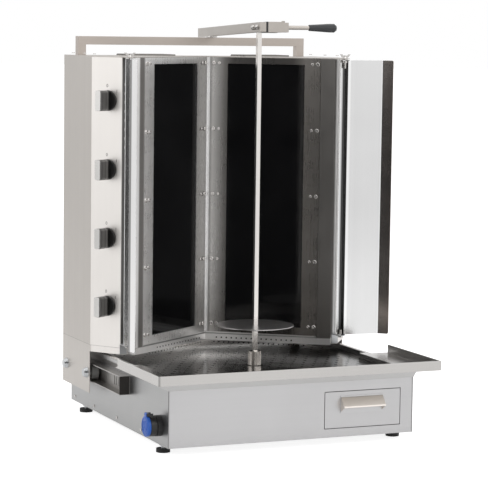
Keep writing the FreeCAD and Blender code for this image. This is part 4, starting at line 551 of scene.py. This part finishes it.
def scatter(name, spots, shapeMesh, material, body):  # spots are places, outward directions and sizes
    mesh = bpy.data.meshes.new(name + "Points")
    mesh.from_pydata([place for place, outward, size in spots], [], [])
    mesh.attributes.new("outward", "FLOAT_VECTOR", "POINT")
    mesh.attributes.new("size", "FLOAT", "POINT")
    for index, (place, outward, size) in enumerate(spots):
        mesh.attributes["outward"].data[index].vector = outward
        mesh.attributes["size"].data[index].value = size
    shape = addObject(name + "Shape", shapeMesh)
    wanted = {**scatterSizes, "Shape": shape, "Material": material}
    result = runTree(addObject(name + "Holder", mesh), scatterTree(name + "Tree"), wanted)
    bpy.data.objects.remove(shape)
    newPiece(name, result, material, body)
    print(name, len(spots))


panelScrews = {"rows": 5, "lowest": 0.216, "highest": 0.852, "near": (0.0145, 0.028), "far": (0.257, 0.2705),
               "sizes": (1.25, 0.95)}
panelSpots = []
for side, node in ((-1, "frame_left"), (1, "frame_right")):
    run, face = panelWays(side)
    lift = highest(node, face) - apex.dot(face)
    for row in range(panelScrews["rows"]):
        rise = panelScrews["highest"] - panelScrews["lowest"]
        height = panelScrews["lowest"] + rise * row / (panelScrews["rows"] - 1)
        for pair, sizes in (("near", panelScrews["sizes"]), ("far", panelScrews["sizes"][::-1])):
            for distance, size in zip(panelScrews[pair], sizes):
                panelSpots.append((apex + run * distance + face * lift + Vector((0, 0, height)), face, size))
scatter("panelScrews", panelSpots, screwHead(screwSizes), screwSteel, "column")

rearScrews = {"across": (-0.31, -0.155, 0, 0.155, 0.31), "up": (0.215, 0.43, 0.64, 0.85), "size": 0.9}
roofScrews = {"across": (-0.315, 0.315), "along": (0.13, 0.20, 0.285), "size": 0.9}
rear = Vector(yAxis)
coverSpots = []
across, up = rearScrews["across"], rearScrews["up"]
for column in across:
    for row in up:
        if column in (across[0], across[-1]) or row in (up[0], up[-1]):  # round the edge only
            coverSpots.append((Vector((column, highest("rear_cover", rear), row)), rear, rearScrews["size"]))
for column in roofScrews["across"]:
    for row in roofScrews["along"]:
        coverSpots.append((Vector((column, row, highest("top_cover", upward))), upward, roofScrews["size"]))
scatter("coverScrews", coverSpots, screwHead(screwSizes), screwSteel, "column")

baseScrews = {"along": (-0.16, 0.0, 0.16, 0.30), "height": 0.032, "size": 0.85}
baseSpots = []
for side in (-1, 1):
    face = Vector((side, 0, 0))
    for along in baseScrews["along"]:
        place = Vector((side * highest("base_shell", face), along, baseScrews["height"]))
        baseSpots.append((place, face, baseScrews["size"]))
scatter("baseScrews", baseSpots, screwHead(screwSizes), screwSteel, "base")


# drain holes along the foot of the two panels: thin dark discs, painted shade standing in for the open holes

drainHoles = {"radius": 0.0019, "thick": 0.0003, "sides": 12, "proud": 0.0006, "pitch": 0.0125, "first": 0.022,
              "count": 19, "rows": (0.170, 0.181)}


def thinDisc(sizes):
    work = bmesh.new()
    bmesh.ops.create_cone(work, cap_ends=True, segments=sizes["sides"], radius1=sizes["radius"],
                          radius2=sizes["radius"], depth=sizes["thick"])
    return toMesh(work, "thinDisc")


drainSpots = []
for side in (-1, 1):
    run, face = panelWays(side)
    for index, height in enumerate(drainHoles["rows"]):
        for step in range(drainHoles["count"]):
            distance = drainHoles["first"] + drainHoles["pitch"] * (step + index / 2)
            place = apex + run * distance + face * drainHoles["proud"] + Vector((0, 0, height))
            drainSpots.append((place, face, 1.0))
scatter("drainHoles", drainSpots, thinDisc(drainHoles), holeBlack, "column")


# bright caps on the knobs' grips, and dark caps in the front ends of the two rails

capShape = {"steps": 5, "wall": 0.6, "narrower": 0.95, "shorter": 0.98}  # an upright wall, then a sloped edge


def roundedPlate(width, length, thick, corner):
    outline = []
    for cornerX, cornerY, start in ((1, 1, 0), (-1, 1, 90), (-1, -1, 180), (1, -1, 270)):
        for step in range(capShape["steps"] + 1):
            turn = math.radians(start + 90 * step / capShape["steps"])
            outline.append((cornerX * (width / 2 - corner) + corner * math.cos(turn),
                            cornerY * (length / 2 - corner) + corner * math.sin(turn)))
    work = bmesh.new()
    low = [work.verts.new((x, y, 0)) for x, y in outline]
    mid = [work.verts.new((x, y, thick * capShape["wall"])) for x, y in outline]
    top = [work.verts.new((x * capShape["narrower"], y * capShape["shorter"], thick)) for x, y in outline]
    bridge(work, low, mid)
    bridge(work, mid, top)
    work.faces.new(top)
    work.faces.new(list(reversed(low)))
    bmesh.ops.recalc_face_normals(work, faces=work.faces)
    return work


knobCaps = {"width": 0.0150, "length": 0.0465, "thick": 0.0009, "round": 0.0030, "sunk": 0.0002}
for number, spot in enumerate(knobSpots, 1):
    reach = max((vertex.co - spot).dot(knobOut) for vertex in nodes[f"knob_{number}"].data.vertices)
    work = roundedPlate(knobCaps["width"], knobCaps["length"], knobCaps["thick"], knobCaps["round"])
    work.transform(standing(spot + knobOut * (reach - knobCaps["sunk"]), knobRight, upward, knobOut))
    newPiece(f"knobCap{number}", toMesh(work, f"knobCap{number}"), capSteel, f"knob_{number}")
print("knob caps", len(knobSpots))

railCaps = {"gap": 0.0006, "thick": 0.0022, "round": 0.0015, "proud": 0.0006, "inner": 0.3}
railLow, railHigh = corners("slide_rails")
forward = -Vector(yAxis)
for side, name in ((-1, "railCapLeft"), (1, "railCapRight")):
    wide = railHigh.x - railCaps["inner"] - 2 * railCaps["gap"]
    tall = railHigh.z - railLow.z - 2 * railCaps["gap"]
    work = roundedPlate(wide, tall, railCaps["thick"], railCaps["round"])
    place = Vector((side * (railHigh.x + railCaps["inner"]) / 2,
                    railLow.y + railCaps["thick"] - railCaps["proud"], (railLow.z + railHigh.z) / 2))
    work.transform(standing(place, Vector(xAxis), upward, forward))
    newPiece(name, toMesh(work, name), railEndPlastic, "base")
print("rail caps done")


# perforated basin inserts, with no hole near the skewer's hub; the names are the tree's inputs

holeSizes = {"Columns": 9, "Rows": 22, "Pitch Across": 0.029, "Pitch Along": 0.0255, "Radius": 0.0036,
             "Clear": 0.030, "Depth": 0.05, "Sides": 12}


def perforatingTree(name):
    graph = newTree(name, (("Columns", "Int"), ("Rows", "Int"), ("Pitch Across", "Float"), ("Pitch Along", "Float"),
                           ("Radius", "Float"), ("Clear", "Float"), ("Depth", "Float"), ("Sides", "Int"),
                           ("Middle", "Vector"), ("Hub", "Vector")))
    given = graph["given"]
    grid = addNode(graph, "GeometryNodeMeshGrid")
    for count, pitch, way in (("Columns", "Pitch Across", "X"), ("Rows", "Pitch Along", "Y")):
        feed(graph, grid.inputs["Vertices " + way], given[count])
        gaps = reckon(graph, "SUBTRACT", given[count], 1)
        feed(graph, grid.inputs["Size " + way], reckon(graph, "MULTIPLY", gaps, given[pitch]))
    place = addNode(graph, "GeometryNodeInputPosition")
    apart = addNode(graph, "ShaderNodeSeparateXYZ")
    feed(graph, apart.inputs[0], place.outputs[0])
    row = reckon(graph, "DIVIDE", apart.outputs["Y"], given["Pitch Along"])
    row = reckon(graph, "ROUND", reckon(graph, "ADD", row, 100.25))  # above zero, so that odd rows can be told
    odd = reckon(graph, "SUBTRACT", reckon(graph, "MODULO", row, 2), 0.5)
    offset = addNode(graph, "ShaderNodeCombineXYZ")
    halfPitch = reckon(graph, "MULTIPLY", given["Pitch Across"], 0.5)
    feed(graph, offset.inputs["X"], reckon(graph, "MULTIPLY", odd, halfPitch))
    staggered = addNode(graph, "GeometryNodeSetPosition")
    feed(graph, staggered.inputs["Geometry"], grid.outputs["Mesh"])
    feed(graph, staggered.inputs["Offset"], offset.outputs[0])
    moved = addNode(graph, "GeometryNodeTransform")
    feed(graph, moved.inputs["Geometry"], staggered.outputs[0])
    feed(graph, moved.inputs["Translation"], given["Middle"])
    farFrom = addNode(graph, "ShaderNodeVectorMath", operation="DISTANCE")
    feed(graph, farFrom.inputs[0], place.outputs[0])
    feed(graph, farFrom.inputs[1], given["Hub"])
    drop = addNode(graph, "GeometryNodeDeleteGeometry")
    feed(graph, drop.inputs["Geometry"], moved.outputs[0])
    feed(graph, drop.inputs["Selection"], reckon(graph, "LESS_THAN", farFrom.outputs["Value"], given["Clear"]))
    punch = addNode(graph, "GeometryNodeMeshCylinder")
    feed(graph, punch.inputs["Vertices"], given["Sides"])
    feed(graph, punch.inputs["Radius"], given["Radius"])
    feed(graph, punch.inputs["Depth"], given["Depth"])
    put = addNode(graph, "GeometryNodeInstanceOnPoints")
    feed(graph, put.inputs["Points"], drop.outputs[0])
    feed(graph, put.inputs["Instance"], punch.outputs["Mesh"])
    punches = addNode(graph, "GeometryNodeRealizeInstances")
    feed(graph, punches.inputs[0], put.outputs[0])
    bore = addNode(graph, "GeometryNodeMeshBoolean", operation="DIFFERENCE")
    feed(graph, bore.inputs[0], given["Geometry"])
    feed(graph, bore.inputs[1], punches.outputs[0])
    return endTree(graph, bore.outputs["Mesh"])


mergeGap = 0.00001
hubLow, hubHigh = corners("drive_hub")
for name in ("insert_left", "insert_right"):
    low, high = corners(name)
    work = bmesh.new()
    work.from_mesh(nodes[name].data)
    bmesh.ops.remove_doubles(work, verts=work.verts, dist=mergeGap)
    bmesh.ops.recalc_face_normals(work, faces=work.faces)
    sheet = toMesh(work, name + "Sheet")
    before = len(sheet.polygons)
    wanted = dict(holeSizes)
    wanted["Middle"] = ((low.x + high.x) / 2, (low.y + high.y) / 2, (low.z + high.z) / 2)
    wanted["Hub"] = ((hubLow.x + hubHigh.x) / 2, (hubLow.y + hubHigh.y) / 2, (low.z + high.z) / 2)
    wanted["Material"] = traySteel
    result = runTree(addObject(name + "Holder", sheet), perforatingTree(name + "Tree"), wanted)
    print("perforated", name, before, "to", len(result.polygons), "faces")
    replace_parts(newPiece(name + "Perforated", result, traySteel, "base"), name)


# dial marks beside the knobs

dialMarks = {"tall": 0.0075, "fontShare": 0.7, "thick": 0.0002, "reach": 0.034, "marks": (("0", 90), ("1", 38))}


def digitMesh(digit):
    curve = bpy.data.curves.new("digit", "FONT")
    curve.body = digit
    curve.size = dialMarks["tall"] / dialMarks["fontShare"]
    curve.align_x, curve.align_y = "CENTER", "CENTER"
    curve.extrude = dialMarks["thick"] / 2
    curve.resolution_u = 3
    return fromObject(addObject("digit", curve))


surface = highest("control_panel", knobOut)
marks = bmesh.new()
for spot in knobSpots:
    foot = spot + knobOut * (surface - spot.dot(knobOut))
    for digit, degrees in dialMarks["marks"]:
        angle = math.radians(degrees)
        over = knobRight * (dialMarks["reach"] * math.cos(angle))
        place = foot + over + Vector((0, 0, dialMarks["reach"] * math.sin(angle)))
        shape = digitMesh(digit)
        shape.transform(standing(place, knobRight, upward, knobOut))
        marks.from_mesh(shape)
bmesh.ops.recalc_face_normals(marks, faces=marks.faces)
newPiece("dialMarks", toMesh(marks, "dialMarks"), markInk, "column")
print("dial marks", len(knobSpots) * len(dialMarks["marks"]))


# raised rings and ribs of the inlet's lid, and its spring

lidRings = {"centre": (-0.281, 0.0635), "radii": (0.0185, 0.0125), "points": 40, "wire": 0.0009, "sunk": 0.0001,
            "ribs": 3, "ribFrom": 0.002, "ribTo": 0.0115}
lidFace = corners("inlet_lid")[0].x + lidRings["sunk"]
slanted = Vector((0.31, 0.17, 0.94))  # a direction that no wire here follows


def sweep(whole, path, radius, sides=8, closed=False):  # a round wire along a path
    work = bmesh.new()
    rings = []
    for index, spot in enumerate(path):
        before = path[index - 1] if closed or index else spot
        after = path[(index + 1) % len(path)] if closed or index < len(path) - 1 else spot
        run = (after - before).normalized()
        across = run.cross(slanted).normalized()
        over = run.cross(across)
        rings.append([work.verts.new(spot + across * (radius * math.cos(turn)) + over * (radius * math.sin(turn)))
                      for turn in turns(sides)])
    for first, second in zip(rings, rings[1:]):
        bridge(work, first, second)
    if closed:
        bridge(work, rings[-1], rings[0])
    else:
        work.faces.new(rings[0])
        work.faces.new(list(reversed(rings[-1])))
    bmesh.ops.recalc_face_normals(work, faces=work.faces)
    wire = toMesh(work, "wire")
    whole.from_mesh(wire)
    bpy.data.meshes.remove(wire)


def wirePiece(whole, name, material, body):
    mesh = toMesh(whole, name)
    for face in mesh.polygons:
        face.use_smooth = True
    newPiece(name, mesh, material, body)
    print(name, len(mesh.polygons), "faces")


def onLid(reach, turn):
    across, up = lidRings["centre"]
    return Vector((lidFace, across + reach * math.cos(turn), up + reach * math.sin(turn)))


rings = bmesh.new()
for radius in lidRings["radii"]:
    sweep(rings, [onLid(radius, turn) for turn in turns(lidRings["points"])], lidRings["wire"], closed=True)
for turn in turns(lidRings["ribs"]):
    ends = [onLid(reach, turn + math.pi / 2) for reach in (lidRings["ribFrom"], lidRings["ribTo"])]
    sweep(rings, ends, lidRings["wire"])
wirePiece(rings, "lidRings", bluePlastic, "lid")

lidSpring = {"axis": (-0.332, 0.0905), "from": -0.2875, "to": -0.2745, "turns": 5, "points": 16, "coil": 0.0027,
             "wire": 0.00035}
coil = []
steps = lidSpring["turns"] * lidSpring["points"]
for step in range(steps + 1):
    turn = 2 * math.pi * step / lidSpring["points"]
    coil.append(Vector((lidSpring["axis"][0] + lidSpring["coil"] * math.cos(turn),
                        lidSpring["from"] + (lidSpring["to"] - lidSpring["from"]) * step / steps,
                        lidSpring["axis"][1] + lidSpring["coil"] * math.sin(turn))))
spring = bmesh.new()
sweep(spring, coil, lidSpring["wire"], 6)
wirePiece(spring, "lidSpring", screwSteel, "base")


# pale paper floor: it looks white to the camera, and dimmer in the steel

print("lighting")
floorLook = {"half": 60.0, "patches": 3, "dark": (0.90, 0.90, 0.90), "pale": (0.93, 0.93, 0.93), "rough": 0.9,
             "glow": 0.78, "mirrored": 0.45}
half = floorLook["half"]
floorMesh = bpy.data.meshes.new("floor")
floorMesh.from_pydata([(-half, -half, 0), (half, -half, 0), (half, half, 0), (-half, half, 0)], [], [(0, 1, 2, 3)])
floor = addObject("floor", floorMesh)
paper = newFinish("floorPaper")
paper["shader"].inputs["Roughness"].default_value = floorLook["rough"]
paper["shader"].inputs["Specular IOR Level"].default_value = 0.0
patches = span(paper, noise(paper, floorLook["patches"]), 0, 1)
feed(paper, paper["shader"].inputs["Base Color"], mix(paper, patches, floorLook["dark"], floorLook["pale"]))
glow = addNode(paper, "ShaderNodeEmission")
glow.inputs["Strength"].default_value = floorLook["glow"]
ray = addNode(paper, "ShaderNodeLightPath").outputs
mirrored = reckon(paper, "MULTIPLY", ray["Is Glossy Ray"], floorLook["mirrored"])
both = addNode(paper, "ShaderNodeAddShader")
feed(paper, both.inputs[0], paper["shader"].outputs["BSDF"])
feed(paper, both.inputs[1], glow.outputs["Emission"])
choose = addNode(paper, "ShaderNodeMixShader")
feed(paper, choose.inputs[0], reckon(paper, "MAXIMUM", ray["Is Camera Ray"], mirrored))
feed(paper, choose.inputs[1], paper["shader"].outputs["BSDF"])
feed(paper, choose.inputs[2], both.outputs[0])
feed(paper, paper["surface"], choose.outputs[0])
floorMesh.materials.append(paper["material"])


# white studio: it lights the grill less than it is seen

studioLight = {"seen": 1.0, "cast": 0.55}
world = bpy.data.worlds.new("studio")
bpy.context.scene.world = world
world.use_nodes = True
world.node_tree.nodes.clear()
studio = {"tree": world.node_tree}
ray = addNode(studio, "ShaderNodeLightPath").outputs
looking = reckon(studio, "MAXIMUM", ray["Is Camera Ray"], ray["Is Glossy Ray"])
choose = addNode(studio, "ShaderNodeMixShader")
feed(studio, choose.inputs[0], reckon(studio, "MAXIMUM", looking, ray["Is Transmission Ray"]))
for index, strength in ((1, studioLight["cast"]), (2, studioLight["seen"])):
    light = addNode(studio, "ShaderNodeBackground")
    feed(studio, light.inputs["Color"], (1, 1, 1))
    light.inputs["Strength"].default_value = strength
    feed(studio, choose.inputs[index], light.outputs[0])
feed(studio, addNode(studio, "ShaderNodeOutputWorld").inputs["Surface"], choose.outputs[0])

lampAim = Vector((0, 0, 0.45))
lamps = {"leftLamp": {"spot": (-2.6, -0.6, 1.5), "size": (1.6, 2.2), "power": 6},
         "frontLamp": {"spot": (0.6, -3.0, 2.2), "size": (2.0, 1.6), "power": 12},
         "topLamp": {"spot": (0, 0, 3.0), "size": (2.4, 2.4), "power": 18}}
for name, sizes in lamps.items():
    lamp = bpy.data.lights.new(name, "AREA")
    lamp.shape = "RECTANGLE"
    lamp.size, lamp.size_y = sizes["size"]
    lamp.energy = sizes["power"]
    holder = addObject(name, lamp)
    holder.location = sizes["spot"]
    holder.rotation_euler = (lampAim - Vector(sizes["spot"])).to_track_quat("-Z", "Y").to_euler()


# dark card to the left of the grill, seen only in reflections

darkCard = {"spot": (-0.95, -0.85, 0.42), "target": (0.11, 0.11, 0.5), "width": 1.2, "height": 1.1, "rough": 0.9,
            "mottle": 2, "dark": (0.010, 0.010, 0.010), "pale": (0.02, 0.02, 0.02)}
aside, over = darkCard["width"] / 2, darkCard["height"] / 2
work = bmesh.new()
sheet = ((-aside, -over, 0), (aside, -over, 0), (aside, over, 0), (-aside, over, 0))
work.faces.new([work.verts.new(place) for place in sheet])
facing = (Vector(darkCard["target"]) - Vector(darkCard["spot"])).to_track_quat("Z", "Y")
work.transform(Matrix.Translation(darkCard["spot"]) @ facing.to_matrix().to_4x4())
cardMesh = toMesh(work, "darkCard")
cardPaper = newFinish("cardPaper")
feed(cardPaper, cardPaper["shader"].inputs["Base Color"],
     mix(cardPaper, noise(cardPaper, darkCard["mottle"], 2), darkCard["dark"], darkCard["pale"]))
cardPaper["shader"].inputs["Roughness"].default_value = darkCard["rough"]
cardMesh.materials.append(cardPaper["material"])
card = addObject("darkCard", cardMesh)
card.visible_camera = False
card.visible_diffuse = False
card.visible_shadow = False


# camera: metres, degrees and millimetres

print("camera")
cameraPlace = {"spot": (-1.9556, -4.5899, 0.9406), "yaw": -23.25, "roll": 0.75, "down": 5.85, "lens": 156.5,
               "sensor": 36, "farthest": 50}
yaw, roll, down = (math.radians(cameraPlace[key]) for key in ("yaw", "roll", "down"))
level = Vector((math.cos(yaw), math.sin(yaw), 0))
ahead = Vector((-math.sin(yaw) * math.cos(down), math.cos(yaw) * math.cos(down), -math.sin(down)))
upright = level.cross(ahead)
right = level * math.cos(roll) + upright * math.sin(roll)
above = upright * math.cos(roll) - level * math.sin(roll)
camera = bpy.data.cameras.new("camera")
camera.lens = cameraPlace["lens"]
camera.sensor_width = cameraPlace["sensor"]
camera.clip_end = cameraPlace["farthest"]
cameraHolder = addObject("camera", camera)
cameraHolder.matrix_world = standing(cameraPlace["spot"], right, above, -ahead)
bpy.context.scene.camera = cameraHolder
bpy.context.scene.view_settings.view_transform = "Standard"
